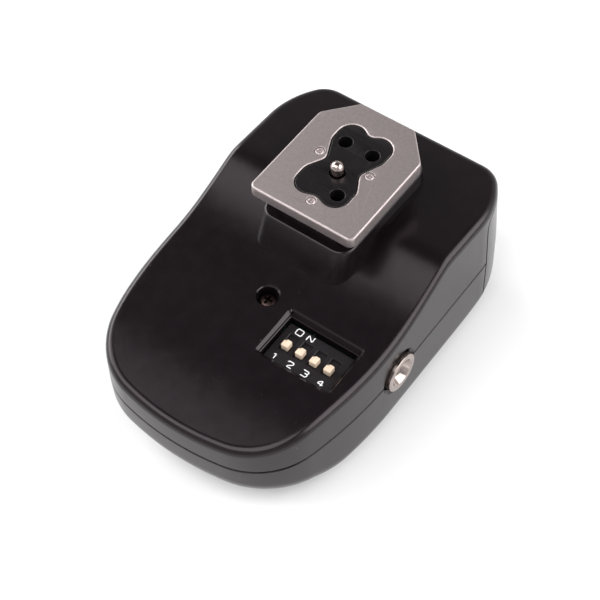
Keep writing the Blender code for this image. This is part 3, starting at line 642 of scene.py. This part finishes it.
def make_foot_side():
    levels = seam_fillet(PARTING_Z + GAP / 2, 1) + top_fillet(0.0, 9)
    shell = casing_form("casing_foot_side", 0.0, levels)
    cut(shell, inner_form(), door_region(GAP / 2))
    neck_ys = (-7.8, 11.2)
    neck_outline = rectangle((-NECK_HALF_WIDTH, NECK_HALF_WIDTH), neck_ys, 1.5)
    neck = slab("neck", [neck_outline], (LEDGE_Z - GAP, PLATE_LOW.z - GAP))
    join(shell, pedestal(), neck, *screw_bosses())
    return cut(shell, pedestal_core(), *foot_side_bores(), *front_openings())


def sealing_lips():
    """The wall's inner step and the lip above it, open where the jack's body sits."""
    jack_low, jack_high, _ = corners("sync_jack_body")
    notch_sides = [(jack_low[i] - GAP, jack_high[i] + GAP) for i in range(3)]
    inside = WALL + GAP + LIP_THICK
    lips = []
    for depth, top in ((WALL - LIP_THICK, PARTING_Z - GAP), (WALL + GAP, PARTING_Z + LIP_RISE)):
        ring = plan_slab("lip", depth, (LIP_LOW_Z, top), LIP_REAR_Y)
        hollow = plan_slab("lip_inside", inside, (0.0, HEIGHT), LIP_REAR_Y + 1)
        lips.append(cut(ring, hollow, box("jack_notch", *notch_sides)))
    return lips


def cradle_ribs():
    """Two ribs behind the bay's wall, hollowed to the cell's round."""
    _, high, cell = corners("battery_cell")
    radius = high.z - cell.z + GAP
    half = 0.6
    ys = (BAY_WALL_Y + 0.5, 10.9)
    ribs = []
    for middle in (-9.0, 9.0):
        rib = box("cradle_rib", (middle - half, middle + half), ys, (3.0, 8.0))
        ends = ((-SPAN, cell.y, cell.z), (SPAN, cell.y, cell.z))
        ribs.append(cut(rib, rod("cell_space", radius, *ends, 64)))
    return ribs


def make_button_side():
    levels = base_fillet(0.0, 12) + seam_fillet(PARTING_Z - GAP / 2, -1)
    shell = casing_form("casing_button_side", 0.0, levels)
    cut(shell, inner_form(), door_region(GAP / 2))
    low = WALL / 2
    high = BOARD_LOW.z - GAP
    bay_ys = (BAY_WALL_Y, BAY_WALL_Y + 1)
    _, button_high, button = corners("test_button")
    button_radius = button_high.x - BUTTON_FLANGE
    join(
        shell,
        post("case_pillar", 2.4, CASE_SCREW, low, high, 28),
        box("bay", (-17, 17), bay_ys, (low, high)),
        *sealing_lips(),
        *cradle_ribs(),
        post("guide", button_radius + GAP + 1.0, button, low, 3.2, 56),
    )
    led = middle_of("status_led")
    return cut(
        shell,
        jack_clearance(),
        post("pilot", SHANK + GAP, CASE_SCREW, 4, 14, 20),
        sunk_hole("button_hole", button_radius + GAP, button.y, 0.35),
        sunk_hole("led_hole", 1.8, led.y, 0.25),
    )


def sunk_hole(name, radius, y, flare):
    """A round hole through the resting land with a chamfered mouth."""
    top, below = 5, 2
    mouth = (radius + flare + below, -below)
    profile = [(0.0, top), (radius, top), (radius, flare), mouth, (0.0, -below)]
    return turned(name, profile, (0, y, 0), "Z", 64)


def make_battery_cover():
    levels = base_fillet(0.0, 12) + [PARTING_LEVEL] + top_fillet(0.0, 9)
    cover = casing_form("battery_cover", 0.0, levels)
    cut(cover, inner_form())
    combine(cover, "INTERSECT", [door_region(-GAP / 2)])
    xs = (-4, 4)
    tongue = box("tongue", xs, (7.6, 13), (3.0, 3.8))
    root = box("root", xs, (11.3, 13), (1.8, 3.4))
    cut(cover, plan_slab("mouth", WALL, (15, 30)))
    return join(cover, tongue, root)


# ---- Foot pieces ----
def make_foot_plate():
    half = PLATE_HIGH.x
    chamfer_x, chamfer_y = 4.45, 5.0
    right = [
        (half, PLATE_LOW.y, PLATE_CORNER),
        (half, PLATE_HIGH.y - chamfer_y, PLATE_CORNER),
        (half - chamfer_x, PLATE_HIGH.y, PLATE_CORNER),
    ]
    left = [(-x, y, radius) for x, y, radius in right[::-1]]
    outlines = [rounded(left[-1:] + right + left[:-1], 8), bow_tie(0.04)]
    for name in RIVETS:
        spot = middle_of(name)
        outlines.append(circle(spot.x, spot.y, 0.78))
    rims = [(0.32, 0.2), (0.26, 0.1), (0.08, 0.05)]
    return slab("shoe_foot_plate", outlines, (PLATE_LOW.z, PLATE_HIGH.z), rims)


def make_insert():
    low, high, _ = corners("contact_block")
    outlines = [bow_tie(-0.1)]
    for x, y in ((-2.5, 5.6), (2.4, 5.6), (2.5, -3.5)):
        outlines.append(circle(x, y, 1.12))
    outlines.append(circle(0.0, 0.0, 1.25))
    rims = [(0.16, 0.05), (0.12, 0.05)]
    return slab("contact_insert", outlines, (low.z, high.z), rims)


def make_moulding_mark(insert_top):
    """The faint round gate mark between the two rear holes of the insert."""
    pieces = []
    for radius in (0.75, 0.4):
        ring = [Vector((*p, insert_top)) for p in circle(0.3, 5.0, radius)]
        pieces.append(tube("gate_mark", ring, 0.05, 8, closed=True, flat=0.6))
    return merged("insert_gate_mark", pieces)


def merged(name, pieces):
    """One object from several finished ones."""
    bm = bmesh.new()
    for piece in pieces:
        bm.from_mesh(piece.data)
        bpy.data.objects.remove(piece, do_unlink=True)
    return add(name, bm, unit=1.0)


def make_rivet(node):
    """A staked stud end: a dished face inside a raised ring."""
    low, high, middle = corners(node)
    shank = high.x - middle.x
    top = HEIGHT - 0.02
    head_z = low.z + 0.6
    profile = [(radius, top - drop) for radius, drop in RIVET_FACE]
    profile += [(profile[-1][0], head_z), (shank, head_z), (shank, low.z), (0.0, low.z)]
    return turned(node + "_stake", profile, (middle.x, middle.y, 0), "Z", 40)


def make_pin():
    """The ball-ended sprung contact."""
    low, high, _ = corners("centre_pin")
    ball = 1.05
    stem = 0.7
    collar = 1.0
    chamfer = 0.2
    collar_top = corners("contact_block")[0].z - GAP
    profile = [(ball * sine, high.z - ball * (1 - cosine)) for sine, cosine in quarter(12)]
    profile += [
        (ball, collar_top), (high.x, collar_top), (high.x, collar_top - collar),
        (stem, collar_top - collar), (stem, low.z + chamfer), (stem - chamfer, low.z),
        (0.0, low.z),
    ]
    return turned("ball_contact_pin", profile, (0, 0, 0), "Z", 56)


# ---- Fasteners, jack, switch and button ----
def screw_profile(head, top, tip, up):
    """Half section of a pan-headed screw: crown, rim, threads and point."""
    thick = 1.0
    pitch = 0.6
    crown_rise = 0.62
    crown_edge = radians(84)
    profile = []
    for k in range(7):
        angle = crown_edge * k / 6
        drop = crown_rise * (1 - cos(angle))
        profile.append((head * sin(angle) / sin(crown_edge), top - up * drop))
    profile += [
        (head, top - up * thick * 0.9), (head - 0.1, top - up * thick),
        (SHANK * 0.8, top - up * thick),
    ]
    thread_top = top - up * (thick + 0.3)
    for k in range(int((abs(thread_top - tip) - 1.0) / pitch)):
        z = thread_top - up * pitch * k
        profile.append((SHANK * 0.72, z))
        profile.append((SHANK, z - up * pitch * 0.5))
    return profile + [(SHANK * 0.6, tip + up * 0.5), (0.0, tip)]


def make_screw(name, node, flip):
    """A pan-headed cross-recess screw standing where the CAD screw does."""
    low, high, middle = corners(node)
    head = high.x - middle.x
    top, tip = (low.z, high.z) if flip else (high.z, low.z)
    up = -1 if flip else 1
    profile = screw_profile(head, top, tip, up)
    screw = turned(name, profile, (middle.x, middle.y, 0), "Z", 48)
    reach = head * 0.62
    arm = 0.2
    depth = 0.75
    slots = []
    for half_x, half_y in ((reach, arm), (arm, reach)):
        outline = rectangle((-half_x, half_x), (-half_y, half_y), arm * 0.5, 3)
        sections = []
        for share, z in ((0.55, top - up * depth), (1.0, top), (1.5, top + up * depth)):
            sections.append(([middle.xy + p * share for p in outline], z))
        slots.append(loft("slot", sections[::up]))
    return cut(screw, *slots)


def make_jack():
    """The socket's nickel nose with a countersunk mouth."""
    low, high, middle = corners("sync_jack_nose")
    radius = high.z - middle.z
    face = high.x
    bore = 1.8
    soft = 0.18
    profile = []
    for sine, cosine in quarter(4):
        profile.append((radius - soft * (1 - sine), face - soft * (1 - cosine)))
    profile += [
        (radius, low.x), (bore, low.x), (bore, face - 1.25), (bore + 0.08, face - 1.1),
        (2.28, face - 0.12), (2.38, face - 0.03), (2.5, face),
    ]
    return turned("sync_jack_collar", profile, (0, middle.y, middle.z), "X", 72)


def make_jack_contact():
    """The copper leaf that shows inside the bore."""
    low, high, middle = corners("sync_jack_body")
    xs = (low.x + 2.0, high.x - 0.4)
    points = []
    for k in range(9):
        share = k / 8
        dip = 0.5 * sin(pi * share)
        x = xs[0] + (xs[1] - xs[0]) * share
        points.append((x, middle.y + 1.2, middle.z + 0.9 - dip))
    return tube("sync_jack_leaf", points, 0.35, 12, flat=0.4)


SLIDERS = ["dip_slider_%d" % (k + 1) for k in range(4)]
DIP_TRAVEL = 1.2
SLOT_DEPTH = 0.4


def make_dip_body():
    low, high = DIP_LOW, DIP_HIGH
    outline = rectangle((low.x, high.x), (low.y, high.y), 0.25)
    body = slab("dip_switch_case", [outline], (low.z, high.z), [(0.12, 0.08)])
    slots = []
    for name in SLIDERS:
        near, far, _ = corners(name)
        xs = (near.x - 0.25, far.x + 0.25)
        ys = (near.y - GAP, far.y + DIP_TRAVEL + GAP)
        outline = rectangle(xs, ys, 0.15)
        slots.append(flared("dip_slot", outline, high.z - SLOT_DEPTH, high.z, 0.1))
    return cut(body, *slots)


def make_slider(node):
    """A chunky actuator with a step at its left rear corner."""
    low, high, _ = corners(node)
    zs = (DIP_HIGH.z - SLOT_DEPTH + 0.1, high.z)
    knob = box(node + "_knob", (low.x, high.x), (low.y, high.y), zs, 0.12)
    xs = (low.x - 1, low.x + 0.42)
    ys = (high.y - 0.4, high.y + 1)
    return cut(knob, box("notch", xs, ys, (high.z - 0.45, high.z + 1)))


# Strokes of the legends, in units of their size from the lower left corner
GLYPHS = {
    "O": [(
        (0, 0.15), (0.15, 0), (0.95, 0), (1.1, 0.15), (1.1, 0.85),
        (0.95, 1), (0.15, 1), (0, 0.85), (0, 0.15),
    )],
    "N": [((0, 0), (0, 1), (1, 0), (1, 1))],
    "1": [((0.2, 0.7), (0.55, 1), (0.55, 0))],
    "2": [((0, 0.78), (0.15, 1), (0.85, 1), (1, 0.8), (0.9, 0.6), (0, 0), (1.05, 0))],
    "3": [
        ((0, 1), (0.85, 1), (1, 0.8), (0.85, 0.54), (0.4, 0.54)),
        ((0.85, 0.54), (1, 0.3), (0.85, 0), (0, 0)),
    ],
    "4": [((0.8, 0), (0.8, 1), (0, 0.28), (1.1, 0.28))],
}


def make_legends():
    """Generic switch legends printed on the switch's face."""
    top = DIP_HIGH.z + 0.005
    first, last = middle_of(SLIDERS[0]).x, middle_of(SLIDERS[-1]).x
    pitch = (last - first) / 3 * 1.07
    size = 1.0
    spots = []
    for k, text in enumerate("1234"):
        x = (first + last) / 2 + (k - 1.5) * pitch - 0.15
        spots.append((text, x, DIP_LOW.y + 0.85))
    for text, shift in (("O", 0.1), ("N", 2.15)):
        spots.append((text, first + shift, DIP_HIGH.y - 0.75))
    pieces = []
    for text, x, y in spots:
        for stroke in GLYPHS[text]:
            closed = stroke[0] == stroke[-1]
            path = [(x + (u - 0.5) * size, y + (v - 0.5) * size) for u, v in stroke]
            pieces.append(stroke_piece(path[:-1] if closed else path, closed, top))
    return merged("dip_legends", pieces)


def stroke_piece(path, closed, top):
    """A printed line with softened bends."""
    soft = rounded([(x, y, 0.12) for x, y in path], 4, closed)
    return tube("stroke", [(*p, top) for p in soft], 0.075, 8, closed, 0.15)


def make_test_button():
    low, high, middle = corners("test_button")
    flange = high.x
    radius = flange - BUTTON_FLANGE
    shelf = 3.5
    flange_top = shelf + 0.8
    stem = 1.4
    soft = 0.45
    profile = [(0.0, high.z), (stem, high.z), (stem, flange_top)]
    profile += [(flange, flange_top), (flange, shelf), (radius, shelf)]
    for sine, cosine in quarter(5):
        profile.append((radius - soft * (1 - cosine), low.z + soft * (1 - sine)))
    profile += [
        (radius - 0.9, low.z + 0.02), (radius - 1.1, low.z + 0.14),
        (radius * 0.5, low.z + 0.3), (0.0, low.z + 0.36),
    ]
    return turned("test_button_cap", profile, (0, middle.y, 0), "Z", 64)


def make_led():
    low, high, middle = corners("status_led")
    radius = 1.5
    flange = high.x
    top = 5.6
    flange_low = top - 1.0
    profile = [(0.0, top), (flange, top), (flange, flange_low), (radius, flange_low)]
    for sine, cosine in quarter(10):
        profile.append((radius * cosine, low.z + radius * (1 - sine)))
    lens = turned("status_led_lens", profile, (0, middle.y, 0), "Z", 40)
    half = 0.25
    leads = []
    for x in (-1.27, 1.27):
        xs = (x - half, x + half)
        ys = (middle.y - half, middle.y + half)
        leads.append(box("lead", xs, ys, (top - 0.5, high.z)))
    return join(lens, *leads)


# ---- Battery ----
def make_cell():
    """The 12 V cell: crimped ends, a raised cap and a rolled groove by its top."""
    low, high, middle = corners("battery_cell")
    radius = high.z - middle.z
    cap_rise = 1.0
    cap = 2.6
    left, right = low.x, high.x - cap_rise
    soft = 0.4
    profile = [
        (0.0, left), (radius - 1.2, left), (radius - 1.0, left + 0.08),
        (radius - 0.8, left),
    ]
    for sine, cosine in quarter(4):
        profile.append((radius - soft * (1 - sine), left + soft * (1 - cosine)))
    for share, depth in ((0.86, 0.0), (0.875, 0.22), (0.89, 0.0)):
        profile.append((radius - depth, left + (right - left) * share))
    for sine, cosine in quarter(4):
        profile.append((radius - soft * (1 - cosine), right - soft * (1 - sine)))
    profile += [
        (cap + 0.15, right - 0.05), (cap, right), (cap, high.x - 0.2),
        (cap - 0.2, high.x), (0.0, high.x),
    ]
    return turned("battery_cell_can", profile, (0, middle.y, middle.z), "X", 72)


def coil(low, high, radii, turns, per_turn, flat):
    """(along, across, across) points of a coil, flat at its ends for shares of its turns."""
    points = []
    for k in range(int(turns * per_turn) + 1):
        share = k / (turns * per_turn)
        radius = radii[0] + (radii[1] - radii[0]) * share
        lift = min(1.0, max(0.0, (share - flat[0]) / (1.0 - sum(flat))))
        angle = 2 * pi * turns * share
        points.append((low + (high - low) * lift, radius * cos(angle), radius * sin(angle)))
    return points


def make_battery_spring():
    """The conical spring behind the cell, with a flat turn at its wide end."""
    low, high, _ = corners("battery_spring")
    middle = middle_of("battery_cell")
    wire = 0.25
    radii = (high.z - middle.z - wire, 1.5)
    points = coil(low.x + wire, high.x - wire, radii, 3, 28, (0.25, 0.1))
    points = [(x, middle.y + y, middle.z + z) for x, y, z in points]
    return tube("battery_cone_spring", points, wire, 12)


def make_pin_spring():
    """The contact pin's return spring, closed flat at both ends."""
    low, high, _ = corners("centre_pin_spring")
    wire = 0.2
    radius = high.x - wire
    points = coil(low.z + wire, high.z - wire, (radius, radius), 6, 26, (0.12, 0.12))
    return tube("pin_return_spring", [(x, y, z) for z, x, y in points], wire, 12)


def make_contact_plate(node):
    """A stamped contact: a soft-edged strip with a raised round dimple."""
    low, high, middle = corners(node)
    soft = 0.12
    strip = box(node + "_strip", (low.x, high.x), (low.y, high.y), (low.z, high.z), soft)
    past = high.x + soft
    dimple = [(0.0, middle.x), (1.1, middle.x), (1.4, past), (0.0, past)]
    return cut(strip, turned("dimple", dimple, (0, middle.y, middle.z), "X", 32))


# ---- Materials ----
PLASTIC_IOR = 1.44
PLASTIC_SHEEN = (0.88, 0.79, 0.83, 1.0)
WORN_EDGES = (0.56, 0.68)  # pointiness where wear starts and is full
BLACK = (0.0046, 0.0031, 0.0038)
WORN = (0.02, 0.018, 0.019)
# Colour, worn colour, roughness, grain size and depth in millimetres, and dust
PLASTICS = {
    "casing_black": (BLACK, WORN, 0.2, 0.16, 0.006, 0.8),
    "button_black": (BLACK, WORN, 0.42, 0.12, 0.01, 0.4),
    "insert_black": ((0.006, 0.0055, 0.0055), WORN, 0.24, 0.3, 0.004, 0.3),
    "chip_black": ((0.016, 0.016, 0.018), WORN, 0.5, 0.1, 0.01),
    "dip_black": ((0.006, 0.005, 0.006), (0.03, 0.03, 0.03), 0.42, 0.22, 0.02),
    "knob_ivory": ((0.58, 0.45, 0.34), (0.72, 0.6, 0.48), 0.45, 0.25, 0.02),
    "legend_white": ((0.75, 0.75, 0.75), (0.8, 0.8, 0.8), 0.55, 0.1, 0.004),
    "lead_red": ((0.45, 0.02, 0.02), (0.6, 0.1, 0.1), 0.45, 0.2, 0.01),
    "lead_black": ((0.012, 0.012, 0.012), WORN, 0.45, 0.2, 0.01),
}
# Colour, tarnish, roughness, grain size and depth in millimetres
METALS = {
    "foot_metal": ((0.46, 0.4, 0.395), (0.3, 0.265, 0.265), 0.44, 0.18, 0.012),
    "nickel": ((0.45, 0.38, 0.355), (0.2, 0.155, 0.14), 0.16, 0.12, 0.002),
    "spring_steel": ((0.62, 0.61, 0.6), (0.35, 0.34, 0.33), 0.24, 0.1, 0.004),
    "screw_black": ((0.075, 0.05, 0.045), (0.03, 0.02, 0.018), 0.3, 0.2, 0.006),
    "copper": ((0.78, 0.36, 0.2), (0.4, 0.18, 0.1), 0.28, 0.15, 0.004),
}
# The cell's bands: start and end as shares of its length, and colour
CELL_BANDS = (
    (0.0, 0.04, (0.6, 0.58, 0.55)), (0.62, 0.86, (0.6, 0.33, 0.08)),
    (0.58, 0.6, (0.75, 0.74, 0.7)), (0.955, 1.0, (0.62, 0.6, 0.56)),
)


class Recipe:
    """A node material being put together. Sizes are in millimetres on the object."""

    def __init__(self, name, colour, roughness, **sockets):
        self.material = bpy.data.materials.new(name)
        self.material.use_nodes = True
        self.tree = self.material.node_tree
        self.shader = self.tree.nodes["Principled BSDF"]
        for socket, value in sockets.items():
            self.shader.inputs[socket.replace("_", " ")].default_value = value
        self.place = self.node("TexCoord").outputs["Object"]
        self.colour = (*colour, 1.0)
        self.roughness = roughness
        self.normal = None

    def node(self, kind, feeds=None, **settings):
        """A new node; feeds gives its inputs by name or number."""
        node = self.tree.nodes.new("ShaderNode" + kind)
        for key, value in settings.items():
            setattr(node, key, value)
        for socket, value in (feeds or {}).items():
            self.feed(node, socket, value)
        return node

    def feed(self, node, socket, value):
        if isinstance(value, bpy.types.NodeSocket):
            self.tree.links.new(value, node.inputs[socket])
        else:
            node.inputs[socket].default_value = value

    def spot(self, size, stretch=(1.0, 1.0, 1.0)):
        """Object coordinates scaled so that one unit is size millimetres."""
        scale = tuple(1 / (size * MM * s) for s in stretch)
        mapping = self.node("Mapping", {"Vector": self.place, "Scale": scale})
        return mapping.outputs["Vector"]

    def noise(self, size, detail=2.0, stretch=(1.0, 1.0, 1.0)):
        feeds = {"Vector": self.spot(size, stretch), "Scale": 1.0, "Detail": detail}
        return self.node("TexNoise", feeds).outputs["Fac"]

    def cells(self, size, **settings):
        """Distance within the cells of a Voronoi pattern."""
        feeds = {"Vector": self.spot(size), "Scale": 1.0}
        return self.node("TexVoronoi", feeds, **settings).outputs["Distance"]

    def specks(self, size, radius):
        """A round speck in the middle of each cell; radius is a share of the cell."""
        return self.span(self.cells(size), radius, radius * 0.5, 0.0, 1.0)

    def span(self, value, low, high, out_low, out_high):
        """The value mapped from one range to another, and kept inside it."""
        feeds = dict(enumerate((value, low, high, out_low, out_high)))
        return self.node("MapRange", feeds).outputs["Result"]

    def times(self, one, two):
        return self.node("Math", {0: one, 1: two}, operation="MULTIPLY").outputs["Value"]

    def tint(self, share, colour):
        """Mixes a colour over what is there."""
        feeds = {0: share, 6: self.colour, 7: (*colour, 1.0)}
        self.colour = self.node("Mix", feeds, data_type="RGBA").outputs[2]

    def roughen(self, share, roughness):
        """Mixes a roughness over what is there."""
        feeds = {0: share, 2: self.roughness, 3: roughness}
        self.roughness = self.node("Mix", feeds, data_type="FLOAT").outputs[0]

    def emboss(self, height, depth, strength=1.0):
        feeds = {"Height": height, "Distance": depth * MM, "Strength": strength}
        if self.normal is not None:
            feeds["Normal"] = self.normal
        self.normal = self.node("Bump", feeds).outputs["Normal"]

    def edges(self):
        """Share of wear at a mesh's outer edges."""
        pointiness = self.node("NewGeometry").outputs["Pointiness"]
        return self.span(pointiness, *WORN_EDGES, 0.0, 1.0)

    def done(self):
        self.feed(self.shader, "Base Color", self.colour)
        self.feed(self.shader, "Roughness", self.roughness)
        if self.normal is not None:
            self.feed(self.shader, "Normal", self.normal)
        return self.material


def moulded(name, colour, worn, roughness, grain, grain_depth, dust=0.0):
    """Moulded plastic: fine spark grain, slow ripples, paler polished edges."""
    look = Recipe(name, colour, roughness, IOR=PLASTIC_IOR, Specular_Tint=PLASTIC_SHEEN)
    mottle = look.noise(2.2, 4.0)
    look.tint(look.span(mottle, 0.35, 0.75, 0.0, 0.5), [c * 1.4 for c in colour])
    look.roughen(look.span(mottle, 0.3, 0.8, 0.0, 1.0), roughness + 0.05)
    fine = look.noise(grain, 3.0)
    look.roughen(look.span(fine, 0.45, 0.8, 0.0, 0.5), roughness + 0.16)
    patches = look.span(look.noise(0.6), 0.35, 0.65, 0.2, 1.0)
    rub = look.times(look.edges(), patches)
    look.tint(look.times(rub, 0.6), worn)
    look.roughen(rub, roughness * 0.75)
    if dust:
        drifts = look.span(look.noise(5), 0.5, 0.6, 0.0, dust)
        motes = look.times(look.specks(2.6, 0.035), drifts)
        look.tint(motes, (0.3, 0.28, 0.27))
        look.roughen(motes, 0.8)
    look.emboss(look.noise(3.5, 1.0), 0.02, 0.35)
    look.emboss(fine, grain_depth)
    return look.done()


def brushed(name, colour, dark, roughness, grain, grain_depth):
    """Bare or plated metal with a grain, tarnish and brighter rubbed edges."""
    look = Recipe(name, colour, roughness, Metallic=1.0)
    tarnish = look.noise(0.5, 5.0)
    look.tint(look.span(tarnish, 0.4, 0.8, 0.0, 0.4), dark)
    fine = look.noise(grain, 3.0)
    look.tint(look.span(fine, 0.5, 0.8, 0.0, 0.5), dark)
    look.roughen(look.span(fine, 0.4, 0.7, 0.0, 0.6), min(0.9, roughness + 0.15))
    rub = look.times(look.edges(), 0.8)
    look.tint(rub, [min(1.0, c * 1.15) for c in colour])
    look.roughen(rub, roughness * 0.7)
    look.emboss(fine, grain_depth)
    return look.done()


def translucent_red():
    look = Recipe("led_red", (0.55, 0.02, 0.02), 0.12, Transmission_Weight=0.35)
    haze = look.noise(0.8, 3.0)
    look.tint(look.span(haze, 0.4, 0.7, 0.0, 0.6), (0.8, 0.06, 0.05))
    look.roughen(look.span(haze, 0.3, 0.8, 0.0, 1.0), 0.2)
    look.emboss(look.noise(0.3), 0.004)
    return look.done()


def circuit_board():
    """Solder mask over copper tracks that run along X and Y."""
    look = Recipe("board_green", (0.012, 0.09, 0.035), 0.38, Coat_Weight=0.3)
    edge = look.cells(2.4, feature="DISTANCE_TO_EDGE", distance="CHEBYCHEV")
    track = look.span(edge, 0.06, 0.09, 1.0, 0.0)
    look.tint(track, (0.03, 0.17, 0.06))
    pads = look.specks(3.1, 0.2)
    look.tint(pads, (0.6, 0.55, 0.45))
    look.roughen(pads, 0.25)
    look.emboss(track, 0.03)
    look.emboss(look.noise(0.3, 3.0), 0.006)
    return look.done()


def cell_wrap():
    """The cell's printed sleeve: plain bands round it, with a metal cap and base."""
    look = Recipe("cell_label", (0.03, 0.04, 0.09), 0.3, Coat_Weight=0.4)
    low, high, _ = corners("battery_cell")
    x = look.node("SeparateXYZ", {"Vector": look.place}).outputs[0]
    for start, end, colour in CELL_BANDS:
        sides = []
        for share, levels in ((start, (0.0, 1.0)), (end, (1.0, 0.0))):
            line = low.x + (high.x - low.x) * share
            sides.append(look.span(x, line * MM, (line + 0.05) * MM, *levels))
        look.tint(look.times(*sides), colour)
    scuff = look.noise(0.9, 5.0, (1.0, 0.3, 0.3))
    look.roughen(look.span(scuff, 0.45, 0.8, 0.0, 1.0), 0.55)
    look.tint(look.span(scuff, 0.62, 0.8, 0.0, 0.35), (0.4, 0.4, 0.4))
    look.emboss(scuff, 0.006)
    return look.done()


FINISHES = {name: moulded(name, *values) for name, values in PLASTICS.items()}
FINISHES |= {name: brushed(name, *values) for name, values in METALS.items()}
FINISHES |= {"led_red": translucent_red(), "board_green": circuit_board()}
FINISHES["cell_label"] = cell_wrap()


# ---- Assembly ----
def place(obj, slot, node=None, body="casing", finish=None):
    """Finishes a piece, hangs it on its body and hides the CAD node it stands for."""
    obj.data.materials.clear()
    obj.data.materials.append(FINISHES[finish or slot])
    weigh = obj.modifiers.new("even_normals", "WEIGHTED_NORMAL")
    weigh.keep_sharp = True
    weigh.weight = 80
    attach(obj, body)
    if node:
        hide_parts(node)


place(make_foot_side(), "casing_black", "foot_side_shell")
place(make_button_side(), "casing_black", "button_side_shell")
place(make_battery_cover(), "casing_black", "battery_door", "battery_door")
place(make_foot_plate(), "foot_metal", "foot_plate")
place(make_insert(), "insert_black", "contact_block")
place(make_moulding_mark(corners("contact_block")[1].z), "insert_black")
for rivet in RIVETS:
    place(make_rivet(rivet), "foot_metal", rivet)
place(make_pin(), "nickel", "centre_pin", "centre_pin")
screw = make_screw("case_fixing_screw", "case_screw", False)
place(screw, "screw_black", "case_screw")
for side in ("left", "right"):
    node = "board_screw_" + side
    place(make_screw(node + "_pan", node, True), "screw_black", node)
place(make_jack(), "nickel", "sync_jack_nose")
place(make_jack_contact(), "copper")
place(make_dip_body(), "dip_black", "dip_switch_body")
place(make_legends(), "dip_black", finish="legend_white")
for node in SLIDERS:
    place(make_slider(node), "knob_ivory", node, node)
place(make_test_button(), "button_black", "test_button", "test_button")
place(make_led(), "led_red", "status_led")
place(make_cell(), "cell_label", "battery_cell")
place(make_battery_spring(), "spring_steel", "battery_spring")
pin_spring = make_pin_spring()
place(pin_spring, "spring_steel", "centre_pin_spring")
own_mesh(pin_spring)
for side in ("cap", "spring"):
    node = side + "_contact_plate"
    place(make_contact_plate(node), "nickel", node)

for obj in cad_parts.values():
    slot = obj.data.materials[0].name.split(".")[0]
    obj.data.materials[0] = FINISHES[slot]


# ---- Floor, light and camera ----
# The floor is in millimetres like the pieces, and the lights and the camera in metres
FLOOR_HALF = 3000
SKY_STRENGTH = 2.0
# Position along the sky's height, from straight down to straight up, and brightness
SKY_STOPS = ((0.0, 0.8), (0.42, 0.7), (0.68, 0.33), (0.78, 0.12), (1.0, 0.09))
PART_MIDDLE = (0, -0.01, 0.015)


def make_floor():
    bm = bmesh.new()
    bmesh.ops.create_grid(bm, x_segments=8, y_segments=8, size=FLOOR_HALF)
    floor = add("floor", bm)
    look = Recipe("floor_pale", (0.86, 0.86, 0.86), 0.9, Specular_IOR_Level=0.1)
    look.tint(look.span(look.noise(400, 2.0), 0.4, 0.7, 0.0, 0.4), (0.84, 0.84, 0.845))
    floor.data.materials.append(look.done())


def softbox(name, location, target, size, power):
    light = bpy.data.lights.new(name, "AREA")
    light.shape = "RECTANGLE"
    light.size, light.size_y = size
    light.energy = power
    obj = bpy.data.objects.new(name, light)
    obj.location = location
    WORK.objects.link(obj)
    direction = Vector(target) - obj.location
    obj.rotation_mode = "QUATERNION"
    obj.rotation_quaternion = direction.to_track_quat("-Z", "Y")


def make_sky():
    """Bright round the horizon and dim overhead, as in a light tent."""
    world = bpy.data.worlds.new("tent")
    SCENE.world = world
    world.use_nodes = True
    tree = world.node_tree
    background = tree.nodes["Background"]
    background.inputs["Strength"].default_value = SKY_STRENGTH
    coordinates = tree.nodes.new("ShaderNodeTexCoord")
    split = tree.nodes.new("ShaderNodeSeparateXYZ")
    fade = tree.nodes.new("ShaderNodeValToRGB")
    ends = fade.color_ramp.elements
    while len(ends) < len(SKY_STOPS):
        ends.new(0.5)
    for element, (position, level) in zip(ends, SKY_STOPS):
        element.position = position
        element.color = [level / SKY_STRENGTH] * 3 + [1.0]
    tree.links.new(coordinates.outputs["Generated"], split.inputs[0])
    tree.links.new(split.outputs["Z"], fade.inputs["Fac"])
    tree.links.new(fade.outputs["Color"], background.inputs["Color"])


def make_camera():
    data = bpy.data.cameras.new("camera")
    data.sensor_width = 36.0
    data.lens = 94.53
    data.clip_start = 0.01
    data.clip_end = 20.0
    camera = bpy.data.objects.new("camera", data)
    right = Vector((0.804, 0.593, -0.038)).normalized()
    back = Vector((0.371, -0.451, 0.812))
    back = (back - right * back.dot(right)).normalized()
    turn = Matrix((right, back.cross(right), back)).transposed().to_4x4()
    camera.matrix_world = Matrix.Translation((0.090626, -0.120756, 0.20901)) @ turn
    WORK.objects.link(camera)
    SCENE.camera = camera


make_floor()
make_sky()
softbox("front_left", (-0.37, -0.57, 1.06), (-0.37, -0.01, 0.015), (1.6, 0.74), 13.0)
softbox("right", (0.6, 0.24, 0.48), PART_MIDDLE, (0.9, 0.66), 7.2)
softbox("low_left", (-0.6, -0.02, 0.3), PART_MIDDLE, (0.7, 0.3), 4.0)
make_camera()
SCENE.view_settings.view_transform = "Standard"
